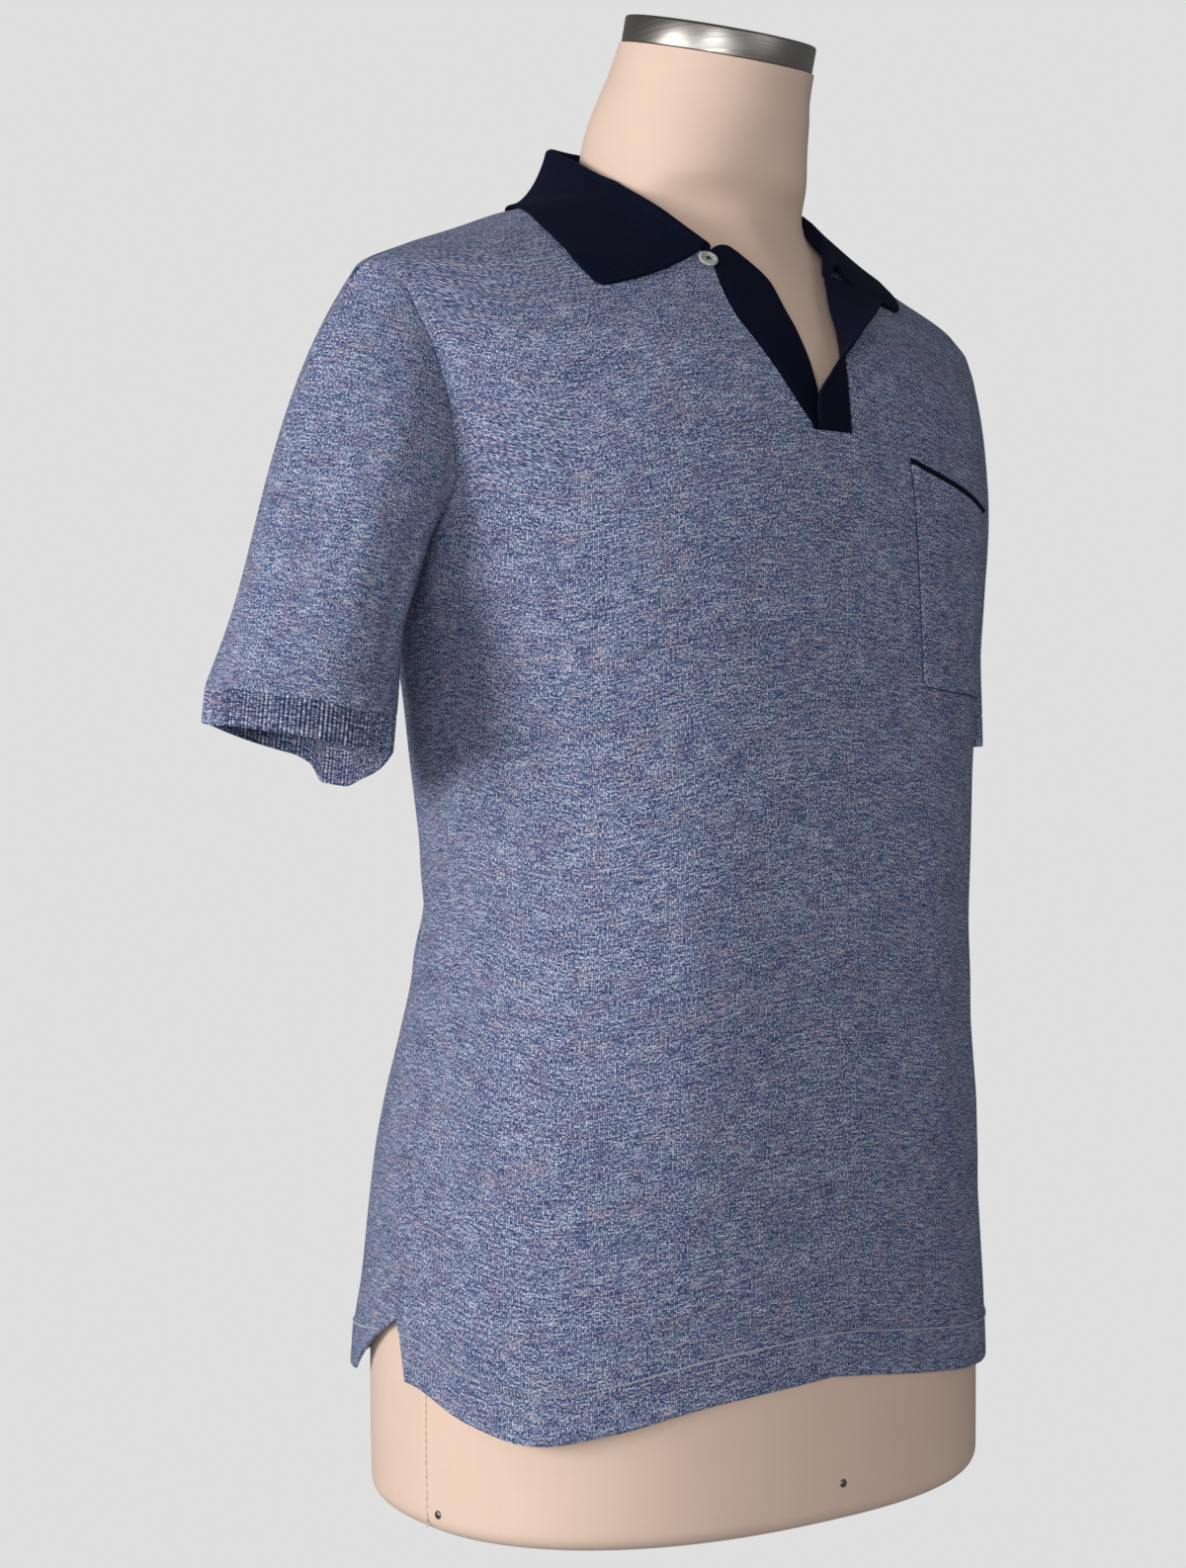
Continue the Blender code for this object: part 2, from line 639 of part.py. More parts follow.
def half_panel(side, face):
    """Return one half panel's heights and angles, hem seam to shoulder seam."""
    heights, front, back = armhole_rows()
    fraction = np.linspace(0, 1, PANEL_COLUMNS + 1)
    if face == "front":
        inner_z = np.concatenate([
            np.linspace(UNDERARM_Z, OPENING_BASE_Z, CHEST_ROWS + 1),
            np.linspace(OPENING_BASE_Z, OPENING_TOP_Z, OPENING_ROWS + 1)[1:],
            np.linspace(OPENING_TOP_Z, NECK_POINT_Z, NECK_ROWS + 1)[1:]])
        edge_x = read(FRONT_EDGE, inner_z)[:, 0 if side < 0 else 1]
        inner_angle = angle_at_x(inner_z, edge_x)
        inner_angle[-1] = math.pi / 2
        outer_angle = front
        low_inner = angle_at_x(np.linspace(100, UNDERARM_Z, BODY_ROWS + 1), OPENING_HALF_WIDTH)
    else:
        rise = np.linspace(UNDERARM_Z, BACK_NECK_Z, BACK_RISE_ROWS + 1)
        turn = np.linspace(180, 90, ARMHOLE_ROWS - BACK_RISE_ROWS + 1)[1:]
        inner_z = np.concatenate([rise, read(BACK_NECKLINE, turn)[:, 0]])
        inner_angle = np.concatenate([np.full(len(rise), math.pi), np.radians(turn)])
        outer_angle = back
        low_inner = np.full(BODY_ROWS + 1, math.pi)
    upper_z = inner_z[:, None] + (heights - inner_z)[:, None] * fraction
    upper_angle = inner_angle[:, None] + (outer_angle - inner_angle)[:, None] * fraction
    climb = np.concatenate([[0.0], np.linspace(VENT_ROW, 1, BODY_ROWS)])[:, None]
    side_angle = np.full(BODY_ROWS + 1, math.pi / 2)
    for _ in range(2):
        lower_angle = low_inner[:, None] + (side_angle - low_inner)[:, None] * fraction
        seam_z = hem_height(lower_angle, side) + HEM_BAND
        lower_z = seam_z + (UNDERARM_Z - seam_z) * climb
        side_angle = side_line(face, lower_z[:, -1])
    z = np.concatenate([lower_z, upper_z[1:]])
    angle = np.concatenate([lower_angle, upper_angle[1:]])
    return z, side * angle


def panel_grids(face):
    """Return the outer and inner point grids of the front or the back panel."""
    grids = []
    for side_name, side in (("right", -1), ("left", 1)):
        z, angle = half_panel(side, face)
        outer, normals = shirt_point(z, angle), shirt_normal(z, angle)
        mitre = armhole_mitre(side_name)
        rows = mitre[:ARMHOLE_ROWS + 1]
        if face == "back":
            rows = np.concatenate([mitre[:1], mitre[:ARMHOLE_ROWS - 1:-1]])
        normals[BODY_ROWS + 1:-1, -1] = rows[1:-1]
        normals[BODY_ROWS, -1] = mitre[0]
        normals[-1, -1] = mitre[ARMHOLE_ROWS]
        inner = outer - normals * JERSEY_WALL
        shift = np.zeros_like(outer)
        shift[:, -1] += unit(outer[:, -2] - outer[:, -1]) * SEAM_GAP / 2
        shift[-1] += unit(outer[-2] - outer[-1]) * SEAM_GAP / 2
        shift[0] += unit(outer[1] - outer[0]) * SEAM_GAP / 2
        grids.append([outer + shift, inner + shift])
    return grids


def make_front():
    """Make the front panel: two halves and the strip below the opening."""
    right, left = panel_grids("front")
    count = BODY_ROWS + CHEST_ROWS + 1
    strip = []
    for i in (0, 1):
        ends = right[i][:count, 0], left[i][:count, 0]
        middle = (ends[0] + ends[1]) / 2
        middle[0, 2] = max(middle[0, 2], HEM[0][1] + HEM_BAND + SEAM_GAP / 2)
        strip.append(np.stack([ends[0], middle, ends[1]], axis=1))
    return wall("front", [[g[:, ::-1] for g in right], strip, left], heather_jersey())


def make_back():
    """Make the back panel from its two halves."""
    right, left = panel_grids("back")
    top = BODY_ROWS + BACK_RISE_ROWS
    for i in (0, 1):
        right[i][top, 0] = left[i][top, 0] = (right[i][top, 0] + left[i][top, 0]) / 2
    lower = [joined(right[i], left[i])[:top + 1] for i in (0, 1)]
    shoulders = [[g[top:, ::-1] for g in right], [g[top:] for g in left]]
    return wall("back", [lower, *shoulders], heather_jersey())


def hem_half(face, side):
    """Return the outer and inner points of half a hem band, centre to side, edge to seam."""
    z, angle = (values[0] for values in half_panel(side, face))
    if face == "front":
        centre_z = hem_height(0.0, side) + HEM_BAND
        z, angle = np.concatenate([[centre_z], z]), np.concatenate([[0.0], angle])
    fraction = (angle - angle[0]) / (angle[-1] - angle[0])
    rise = np.linspace(0, HEM_BAND - SEAM_GAP, HEM_ROWS + 1)[:, None]
    edge_z = z - HEM_BAND + rise
    swing = side * side_line(face, edge_z[:, -1]) - angle[-1]
    angle = angle + swing[:, None] * fraction
    edge_z = hem_height(angle, side) + rise
    normals = shirt_normal(edge_z, angle)
    middle = shirt_point(edge_z, angle) - normals * JERSEY_WALL / 2
    outer, inner = middle + normals * HEM_WALL / 2, middle - normals * HEM_WALL / 2
    shift = unit(outer[:, -2] - outer[:, -1]) * SEAM_GAP / 2
    outer[:, -1] += shift
    inner[:, -1] += shift
    return outer, inner


def make_hem(face):
    """Make the doubled hem band below the front or the back panel."""
    right, left = hem_half(face, -1), hem_half(face, 1)
    grid = [joined(right[i], left[i]) for i in (0, 1)]
    return wall(f"hem_{face}", [grid], heather_jersey())


def neck_seam(side_name):
    """Return the neckline's outer points, normals and the ways out of the cloth there."""
    side = SLEEVES[side_name][0]
    start = BODY_ROWS + CHEST_ROWS + OPENING_ROWS
    z, angle = half_panel(side, "front")
    front = shirt_point(z, angle)[start:], shirt_normal(z, angle)[start:]
    z, angle = half_panel(side, "back")
    start = BODY_ROWS + BACK_RISE_ROWS
    back = shirt_point(z, angle)[start:][::-1], shirt_normal(z, angle)[start:][::-1]
    points = np.concatenate([front[0][:, 0], back[0][1:, 0]])
    normals = np.concatenate([front[1][:, 0], back[1][1:, 0]])
    inside = np.concatenate([front[0][:, 1], back[0][1:, 1]])
    along = np.gradient(points, axis=0)
    away = np.cross(along, normals)
    away *= np.sign(np.einsum("ij,ij->i", away, points - inside))[:, None]
    return points, normals, unit(away)


def clear_of_shirt(points, clearance):
    """Move points outwards until they lie at least a clearance above the shirt."""
    for _ in range(4):
        z = points[..., 2]
        half_width, side_y, front_y, back_y, front_n, back_n = np.moveaxis(read(SHIRT_RINGS, z), -1, 0)
        front = points[..., 1] < side_y
        n = np.where(front, front_n, back_n)
        depth = np.where(front, side_y - front_y, back_y - side_y)
        across = (np.abs(points[..., 0]) / half_width) ** (n / 2)
        along = (np.abs(points[..., 1] - side_y) / depth) ** (n / 2)
        angle = np.arctan2(across, along)
        angle = np.where(front, angle, math.pi - angle) * np.sign(points[..., 0] + 1e-9)
        normals = shirt_normal(z, angle)
        gap = np.einsum("...i,...i->...", points - shirt_point(z, angle), normals)
        points = points + normals * np.maximum(clearance - gap, 0)[..., None]
    return points


def collar_half(side_name):
    """Return one half collar's grid of middle points, front end to centre back."""
    side = SLEEVES[side_name][0]
    seam, normals, away = neck_seam(side_name)
    stations = np.linspace(0, 1, len(seam))
    row = read(COLLAR_RIGHT if side < 0 else COLLAR_LEFT, stations)
    mirror = np.array([side, 1, 1])
    fold, edge, sag = row[:, :3] * mirror, row[:, 3:6] * mirror, row[:, 6:7]
    outward = (edge - seam) * np.array([1, 1, 0])
    outward = unit(outward)
    down = np.array([0.0, 0.0, -FOLD_RADIUS])
    stand_top = fold - outward * FOLD_RADIUS + down
    leaf_top = fold + outward * FOLD_RADIUS + down
    rise = unit(stand_top - seam)
    over = -np.einsum("ij,ij->i", rise, away)[:, None]
    upright = np.sqrt(np.clip(1 - over**2, 0, 1))
    reach = np.where(over > 0, (1 + JERSEY_WALL / TRIM_WALL * over) / np.maximum(upright, 0.5), upright)
    foot = seam - normals * JERSEY_WALL / 2 + away * (3 * SEAM_GAP + reach * TRIM_WALL / 2)
    columns = [foot + (stand_top - foot) * t for t in np.linspace(0, 1, STAND_POINTS)]
    for turn in (45, 90, 135):
        c, s = math.cos(math.radians(turn)), math.sin(math.radians(turn))
        columns.append(fold + down - outward * FOLD_RADIUS * c - down * s)
    control = (leaf_top + edge) / 2 - np.array([0, 0, 1]) * sag - outward * np.maximum(sag, 0) * 0.4
    for t in np.linspace(0, 1, LEAF_POINTS):
        columns.append((1 - t) ** 2 * leaf_top + 2 * t * (1 - t) * control + t**2 * edge)
    points = np.stack(columns, axis=0)
    leaf = slice(STAND_POINTS + 1, None)
    points[leaf] = clear_of_shirt(points[leaf], TRIM_WALL / 2 + LAY_GAP)
    return points


def make_collar():
    """Make the collar: stand, rolled fold and leaf in one knitted piece."""
    right, left = collar_half("right"), collar_half("left")
    middle = np.concatenate([right, left[:, -2::-1]], axis=1)
    for end in (0, -1):
        pull_back(middle, 1, end, COLLAR_END_GAP)
    normals = grid_normals(middle)
    outer, inner = middle + normals * TRIM_WALL / 2, middle - normals * TRIM_WALL / 2
    return wall("collar", [(outer, inner)], navy_knit())


def opening_edge(side_name):
    """Return the opening's edge points, normals and ways into the opening."""
    side = SLEEVES[side_name][0]
    rows = slice(BODY_ROWS + CHEST_ROWS, BODY_ROWS + CHEST_ROWS + OPENING_ROWS + 1)
    z, angle = half_panel(side, "front")
    points, normals = shirt_point(z, angle)[rows], shirt_normal(z, angle)[rows]
    away = np.cross(np.gradient(points[:, 0], axis=0), normals[:, 0])
    away *= np.sign(np.einsum("ij,ij->i", away, points[:, 0] - points[:, 1]))[:, None]
    return points[:, 0], normals[:, 0], unit(away)


def make_right_strip():
    """Make the placket strip on the wearer's right, which lies under the left one."""
    edge, _, away = opening_edge("right")
    row = read(RIGHT_STRIP, edge[:, 2])
    fraction = np.linspace(0, 1, STRIP_COLUMNS + 1)
    start = edge + away * SEAM_GAP
    x = start[:, :1] + (row[:, :1] - start[:, :1]) * fraction
    z = start[:, 2:] + (row[:, 1:2] - start[:, 2:]) * fraction
    z[0] += SEAM_GAP
    angle = -angle_at_x(z, x)
    angle = np.where(x > 0, -angle, angle)
    depth = row[:, 2:3] * fraction
    surface_normals = shirt_normal(z, angle)
    outer = shirt_point(z, angle) - surface_normals * depth[..., None]
    inner = outer - surface_normals * TRIM_WALL
    return wall("placket_right", [(outer, inner)], navy_knit())


def make_left_strip():
    """Make the placket strip on the wearer's left, which turns out like a lapel."""
    edge, normals, away = opening_edge("left")
    row = read(LEFT_STRIP, edge[:, 2])
    free, curl = row[:, :3], row[:, 3:4]
    start = edge + away * SEAM_GAP
    start[0, 2] += SEAM_GAP
    free[0, 2] += SEAM_GAP
    lead = away * np.maximum(curl, 1.0) + (free - start) * 0.6
    tail = (free - start) * 1.1
    t = np.linspace(0, 1, STRIP_COLUMNS + 1)[:, None, None]
    outer = np.moveaxis(hermite(start[None], free[None], lead[None], tail[None], t), 0, 1)
    face = grid_normals(outer)
    face *= np.sign(np.einsum("ij,ij->i", face[0], normals[:1].repeat(STRIP_COLUMNS + 1, 0)).sum())
    face[:, 0] = normals
    return wall("placket_left", [(outer, outer - face * TRIM_WALL)], navy_knit())


def make_pocket():
    """Make the patch pocket and its piped top edge from the front's own points."""
    middle_z = (POCKET[0][1] + POCKET[0][2]) / 2
    ends = angle_at_x(middle_z, np.array([POCKET[0][0], POCKET[-1][0]]))
    x = ring_point(SHIRT_RINGS, middle_z, np.linspace(*ends, POCKET_COLUMNS + 1))[:, 0]
    top, bottom = read(POCKET, x).T
    climb = np.linspace(0, 1, POCKET_ROWS + 1)[:, None]
    z = bottom + (top - bottom) * climb
    x = x + POCKET_LEAN * (1 - climb)
    angle = angle_at_x(z, x)
    normals = shirt_normal(z, angle)
    inner = shirt_point(z, angle) + normals * LAY_GAP
    wall("pocket", [(inner + normals * POCKET_WALL, inner)], heather_jersey())
    z = top + np.array([[SEAM_GAP], [SEAM_GAP + PIPING_HEIGHT]])
    angle = angle_at_x(z, x[-1])
    normals = shirt_normal(z, angle)
    inner = shirt_point(z, angle) + normals * LAY_GAP
    wall("pocket_piping", [(inner + normals * PIPING_WALL, inner)], navy_knit())


def turned(name, profile, sides, frame, finish):
    """Make a solid of revolution from (radius, height) rows, standing on a frame."""
    origin, across, along, axis = frame
    points, rings = [], []
    for radius, height in profile:
        if radius == 0.0:
            rings.append([len(points)])
            points.append(origin + axis * height)
            continue
        turns = np.arange(sides) / sides * 2 * math.pi
        rings.append(list(range(len(points), len(points) + sides)))
        points += [origin + axis * height + radius * (across * math.cos(t) + along * math.sin(t))
                   for t in turns]
    faces = []
    for low, high in zip(rings, rings[1:]):
        for i in range(sides):
            j = (i + 1) % sides
            face = (low[i % len(low)], low[j % len(low)], high[j % len(high)], high[i % len(high)])
            faces.append(tuple(dict.fromkeys(face)))
    return add_mesh(name, np.array(points), faces, finish)


def make_button():
    """Make the shell button at the top of the right placket strip."""
    angle = -angle_at_x(BUTTON_Z, BUTTON_X)
    normal = shirt_normal(BUTTON_Z, angle)
    origin = shirt_point(BUTTON_Z, angle) + normal * BUTTON_STANDS
    across = unit(np.cross(np.array([0.0, 0.0, 1.0]), normal))
    frame = origin, across, np.cross(normal, across), normal
    return turned("button", BUTTON_PROFILE, BUTTON_SIDES, frame, material("shell", (0.42, 0.43, 0.42), 0.25))


def form_point(z, angle):
    """Return the dress form's surface, carried close inside the shirt at the shoulders."""
    own = ring_point(FORM_RINGS, z, angle)
    tilt = np.tan(np.radians(read(FORM_TILT, z)[..., 0]))
    centre_y = (ring_point(FORM_RINGS, z, 0.0)[..., 1] + ring_point(FORM_RINGS, z, math.pi)[..., 1]) / 2
    own[..., 2] += tilt * (own[..., 1] - centre_y)
    all_round, off_line = np.moveaxis(read(FORM_INSET, z), -1, 0)
    inset = JERSEY_WALL + FORM_GAP + all_round + off_line * (1 - np.abs(np.sin(angle)) ** 8)
    carried = shirt_point(z, angle) - shirt_normal(z, angle) * inset[..., None]
    start = CARRY_START + CARRY_SIDE_RISE * np.sin(angle) ** 4
    weight = np.clip((z - start) / CARRY_SPAN, 0, 1) * (z <= CARRY_END)
    weight = (weight * weight * (3 - 2 * weight))[..., None]
    return own + (carried - own) * weight


def make_form():
    """Make the dress form's covered torso and neck as one closed solid."""
    foot = FORM_FOOT_RADIUS
    low = [(foot * (1 - math.sin(math.radians(t))), foot * (1 - math.cos(math.radians(t))))
           for t in (0, 30, 60, 90)]
    heights = FORM_ROWS + [FORM_RINGS[-1][0] - SEAM_GAP]
    angle = np.arange(FORM_SIDES) / FORM_SIDES * 2 * math.pi - math.pi
    rings = []
    for inset, height in low:
        ring = form_point(np.full(FORM_SIDES, height), angle)
        ring[:, :2] -= unit(ring[:, :2] - np.array([0.0, 8.0])) * inset
        rings.append(ring)
    rings += [form_point(np.full(FORM_SIDES, height), angle) for height in heights]
    rings = np.array(rings)
    count = len(rings)
    faces = quads_of(count, FORM_SIDES, True).tolist()
    bottom = list(range(FORM_SIDES))[::-1]
    top = list(range((count - 1) * FORM_SIDES, count * FORM_SIDES))
    finish = material("linen_cover", (0.78, 0.66, 0.56), 0.85)
    return add_mesh("form_torso", rings.reshape(-1, 3), faces + [bottom, top], finish)


def make_cap():
    """Make the steel band that caps the form's neck."""
    last = FORM_RINGS[-1]
    tilt = math.radians(FORM_TILT[-1][1])
    axis = np.array([0.0, -math.sin(tilt), math.cos(tilt)])
    across = np.array([1.0, 0.0, 0.0])
    origin = np.array([0.0, (last[3] + last[4]) / 2, last[0]])
    b = CAP_BEVEL
    profile = [(0.0, 0.0), (CAP_RADIUS, 0.0), (CAP_RADIUS, CAP_HEIGHT - b),
               (CAP_RADIUS - b, CAP_HEIGHT), (0.0, CAP_HEIGHT)]
    frame = origin, across, np.cross(axis, across), axis
    return turned("neck_cap", profile, CAP_SIDES, frame, material("brushed_steel", (0.6, 0.6, 0.6), 0.3, 1.0))


def clear_scene():
    """Remove every object of the scene."""
    for old in list(bpy.data.objects):
        bpy.data.objects.remove(old, do_unlink=True)


def main():
    """Build every piece."""
    clear_scene()
    make_form()
    make_cap()
    make_front()
    make_back()
    for face in ("front", "back"):
        make_hem(face)
    for side_name in SLEEVES:
        make_sleeve(side_name)
        make_cuff(side_name)
    make_collar()
    make_right_strip()
    make_left_strip()
    make_pocket()
    make_button()


main()
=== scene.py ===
"""Looks of a short-sleeved knitted polo shirt on a limbless tailor's dress form.

Shapes are worked out in millimetres in the CAD frame and turned to metres when a
mesh is made: +Z up, the shirt faces -Y and +X is the wearer's left. Every cloth
piece is a thin shell on the form of its CAD solid, with finer edges, soft creases
and a UV map in metres that follows the knitting: u runs along the courses and v
up the wales.
"""

import logging
import math
from dataclasses import dataclass
from enum import Enum
from typing import Any, Iterable, NamedTuple, Sequence

import bpy
import numpy as np
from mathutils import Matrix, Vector

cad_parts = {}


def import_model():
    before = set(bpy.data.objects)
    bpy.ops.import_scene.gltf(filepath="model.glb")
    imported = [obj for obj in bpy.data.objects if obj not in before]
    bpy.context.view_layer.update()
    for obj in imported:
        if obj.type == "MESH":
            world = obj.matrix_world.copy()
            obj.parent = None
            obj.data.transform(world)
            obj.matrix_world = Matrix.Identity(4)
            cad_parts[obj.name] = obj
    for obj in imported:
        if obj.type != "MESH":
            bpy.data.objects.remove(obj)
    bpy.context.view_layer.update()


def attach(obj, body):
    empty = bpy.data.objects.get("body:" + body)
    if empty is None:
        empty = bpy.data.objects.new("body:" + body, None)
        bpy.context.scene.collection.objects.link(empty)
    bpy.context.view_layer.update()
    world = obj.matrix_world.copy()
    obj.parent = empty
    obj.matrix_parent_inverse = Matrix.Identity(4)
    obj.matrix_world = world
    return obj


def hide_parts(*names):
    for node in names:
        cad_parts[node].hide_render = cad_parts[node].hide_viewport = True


LOG = logging.getLogger("polo_shirt")
MM = 0.001
BODY = "root"
# The wave texture's scale that gives one band to each unit
ONE_BAND = math.pi / 10
# Kinds of node that several finishes use
MATH, MIX, RANGE, NOISE = "ShaderNodeMath", "ShaderNodeMix", "ShaderNodeMapRange", "ShaderNodeTexNoise"
WAVE, BUMP, MAPPING = "ShaderNodeTexWave", "ShaderNodeBump", "ShaderNodeMapping"

# Cloth walls and gaps
JERSEY_WALL, TRIM_WALL, HEM_WALL = 1.6, 2.0, 2.4
CUFF_WALL, POCKET_WALL = 1.8, 1.4
SEAM_GAP, LAY_GAP, FORM_GAP = 0.3, 0.8, 0.9
LEAST_MITRE = 0.55
# Where the body's middle lies, seen from above
RING_CENTRE_Y = 8.0
# How far the strip below the opening bows out between the halves
STRIP_BOW = 0.448
SLEEVE_LENGTH, CREASE_MM_PER_DEGREE = 240.0, 2.9

# Heights of the main lines
UNDERARM_Z, NECK_POINT_Z, BACK_NECK_Z = 500.0, 727.0, 738.0
OPENING_BASE_Z, OPENING_TOP_Z = 587.0, 682.0
OPENING_HALF_WIDTH = 14.0
HEM_BAND, CUFF_BAND = 24.5, 19.0

# Where the front's middle line starts, below the hem
FRONT_BASE_Z = 100.0

# Shares of the armhole's length where the opening's base and the neckline start
OPENING_START, NECK_START = 5 / 18, 11 / 18

# The shirt's outer surface
# height, half_width, side_y, front_y, back_y, front_n, back_n
SHIRT_RINGS = [
    (0.0, 188, 8, -122, 162, 2.3, 2.3),
    (60.0, 190, 8, -122, 173, 2.3, 2.3),
    (86.0, 190, 8, -122, 172, 2.3, 2.3),
    (121.0, 187, 8, -124, 166, 2.3, 2.3),
    (155.0, 184, 8, -124, 163, 2.3, 2.3),
    (189.0, 180, 8, -126, 160, 2.35, 2.3),
    (223.0, 176, 7, -128, 150, 2.35, 2.3),
    (257.0, 169, 6, -127, 141, 2.45, 2.3),
    (291.0, 164, 6, -130, 128, 2.5, 2.3),
    (326.0, 160, 6, -133, 121, 2.5, 2.3),
    (360.0, 161, 6, -134, 121, 2.5, 2.3),
    (394.0, 164, 6, -132, 126, 2.5, 2.3),
    (411.0, 166, 6, -130, 128, 2.5, 2.3),
    (450.0, 171, 6, -128, 130, 2.5, 2.3),
    (478.0, 177, 6, -128, 131, 2.4, 2.3),
    (500.0, 186, 6, -128, 132, 2.3, 2.3),
    (520.0, 189, 6, -128, 132, 2.2, 2.3),
    (550.0, 193, 6, -127, 132, 2.15, 2.3),
    (588.0, 199, 6, -122, 130, 2.0, 2.2),
    (624.0, 209, 7, -113, 123, 1.8, 2.2),
    (645.0, 218, 8, -103, 113, 1.6, 2.1),
    (660.0, 221, 9, -93, 103, 1.45, 2.0),
    (673.0, 215, 13, -85, 95, 1.38, 1.8),
    (690.0, 182, 20, -73, 88, 1.38, 1.7),
    (703.0, 149, 23, -65, 82, 1.4, 1.7),
    (715.0, 120, 23, -58, 77, 1.45, 1.8),
    (722.0, 98, 20, -55, 74, 1.55, 1.9),
    (727.0, 82, 14, -52, 71, 1.7, 2.0),
    (738.0, 66, 8, -50, 65, 2.0, 2.1),
    (750.0, 62, 7, -51, 61, 2.0, 2.0),
]

# Armhole on the rings, from the underarm up to the shoulder tip
# height, front_y, back_y
ARMHOLE = [
    (500.0, 6.0, 6.0),
    (506.0, -3.0, 17.0),
    (516.0, -10.0, 28.0),
    (530.0, -19.0, 38.0),
    (544.0, -31.0, 45.0),
    (560.0, -37.0, 50.0),
    (588.0, -36.0, 53.0),
    (624.0, -30.0, 48.0),
    (655.0, -17.0, 33.0),
    (668.0, -4.0, 22.0),
    (673.0, 10.0, 10.0),
]

# Edges of the front opening and the front neckline, as distances from the centre
# height, right_x, left_x
FRONT_EDGE = [
    (490.0, 14.0, 14.0),
    (587.0, 14.0, 14.0),
    (600.0, 21.5, 15.0),
    (615.0, 30.0, 17.0),
    (633.0, 39.5, 20.0),
    (651.0, 45.5, 25.0),
    (667.0, 45.0, 31.0),
    (682.0, 43.0, 39.0),
    (706.0, 62.0, 62.0),
    (727.0, 82.0, 82.0),
]

# Back neckline: angle in degrees, height
BACK_NECKLINE = [
    (90.0, 727.0),
    (120.0, 731.5),
    (150.0, 736.5),
    (180.0, 738.0),
]

# Hem edge round the body, and how far the cloth stands off the rings there
# angle_from_front, right_height, left_height, right_stand_off, left_stand_off
HEM = [
    (0.0, 80.0, 80.0, 0.0, 0.0),
    (20.0, 74.0, 71.0, 1.0, 0.0),
    (40.0, 63.0, 64.0, 5.0, 1.0),
    (53.0, 58.5, 62.0, 9.0, 1.5),
    (70.0, 66.0, 67.0, 5.0, 0.5),
    (90.0, 78.5, 78.5, 0.0, 0.0),
    (112.0, 72.0, 72.0, 3.0, 3.0),
    (130.0, 68.0, 68.0, 2.0, 2.0),
    (180.0, 70.0, 70.0, 1.0, 1.0),
]
# Side lines of the two panels: they part below the vent's top
# height, front_angle, back_angle
SIDE_LINE = [
    (64.0, 90.0, 114.0),
    (74.0, 90.0, 112.0),
    (88.0, 90.5, 105.5),
    (100.0, 91.5, 98.5),
    (111.0, 93.0, 93.0),
    (118.0, 93.0, 93.0),
    (300.0, 92.0, 92.0),
    (500.0, 90.0, 90.0),
]
STAND_OFF_BASE, STAND_OFF_HEIGHT = 60.0, 90.0

# How much of its bow each side of the sleeve takes, and how far it leaves the body there
# turn_from_underarm, right_share, left_share, right_lift, left_lift
SLEEVE_BOW = [
    (0.0, 0.0, 0.0, 6.0, 12.0),
    (45.0, -0.7, -0.7, 14.0, 40.0),
    (80.0, 0.3, 0.3, 8.0, 40.0),
    (120.0, 0.8, 0.8, 0.0, 8.0),
    (180.0, 1.0, 1.0, 0.0, 0.0),
    (240.0, 0.8, 0.8, 0.0, 0.0),
    (290.0, 0.4, 0.4, 0.0, 0.0),
    (330.0, 0.0, 0.0, 3.0, 6.0),
    (360.0, 0.0, 0.0, 6.0, 12.0),
]
# How far the right cuff's edge rises above its plane round the arm
# turn_from_underarm, rise
CUFF_RISE = [
    (0.0, 6.0),
    (30.0, 14.0),
    (60.0, 9.0),
    (90.0, 4.0),
    (120.0, 2.0),
    (150.0, 0.0),
    (180.0, 0.0),
    (210.0, 4.0),
    (240.0, 8.0),
    (270.0, 9.0),
    (300.0, 9.5),
    (312.0, 7.0),
    (322.0, -2.0),
    (336.0, -2.0),
    (350.0, 3.0),
    (360.0, 6.0),
]

# Free edges of the two placket strips
# height, free_x, free_height, sink
RIGHT_STRIP = [
    (587.0, -6.0, 587.4, 2.0),
    (602.8, -4.0, 603.0, 2.5),
    (618.7, -5.0, 619.0, 2.5),
    (634.5, -7.0, 636.0, 2.0),
    (650.3, -9.0, 654.0, 1.5),
    (666.2, -11.0, 672.0, 1.0),
    (682.0, -24.0, 690.0, 0.5),
]
# height, free_x, free_y, free_z, curl
LEFT_STRIP = [
    (587.0, -12.5, -126.0, 587.5, 0.0),
    (602.8, -12.0, -125.0, 603.0, 2.0),
    (618.7, -4.0, -127.5, 618.0, 8.0),
    (634.5, 8.0, -127.0, 631.0, 15.0),
    (650.3, 24.0, -121.0, 645.0, 20.0),
    (666.2, 42.0, -110.0, 657.0, 20.0),
    (682.0, 56.0, -98.0, 666.0, 18.0),
]

# Collar at stations along the neck seam: 0 front end, 0.5 neck point, 1 centre back
# station, fold_x, fold_y, fold_z, edge_x, edge_y, edge_z, sag
COLLAR_RIGHT = [
    (0.0, 43.5, -66.5, 692.0, 114.0, -63.0, 660.0, 12.0),
    (0.2, 59.5, -51.0, 709.0, 117.0, -44.0, 671.0, 6.0),
    (0.4, 68.0, -19.0, 729.5, 118.0, -18.0, 696.0, 4.0),
    (0.5, 70.0, 2.0, 740.0, 117.0, -2.0, 710.0, 5.0),
    (0.6, 68.5, 24.0, 751.0, 111.0, 24.0, 720.0, 8.0),
    (0.7, 64.0, 47.0, 761.0, 98.0, 49.0, 724.0, 9.0),
    (0.8, 53.0, 66.0, 768.0, 77.0, 71.0, 728.0, 9.0),
    (0.9, 29.0, 77.0, 770.5, 41.0, 87.0, 731.0, 8.0),
    (1.0, 0.0, 79.0, 771.0, 0.0, 90.0, 732.0, 8.0),
]
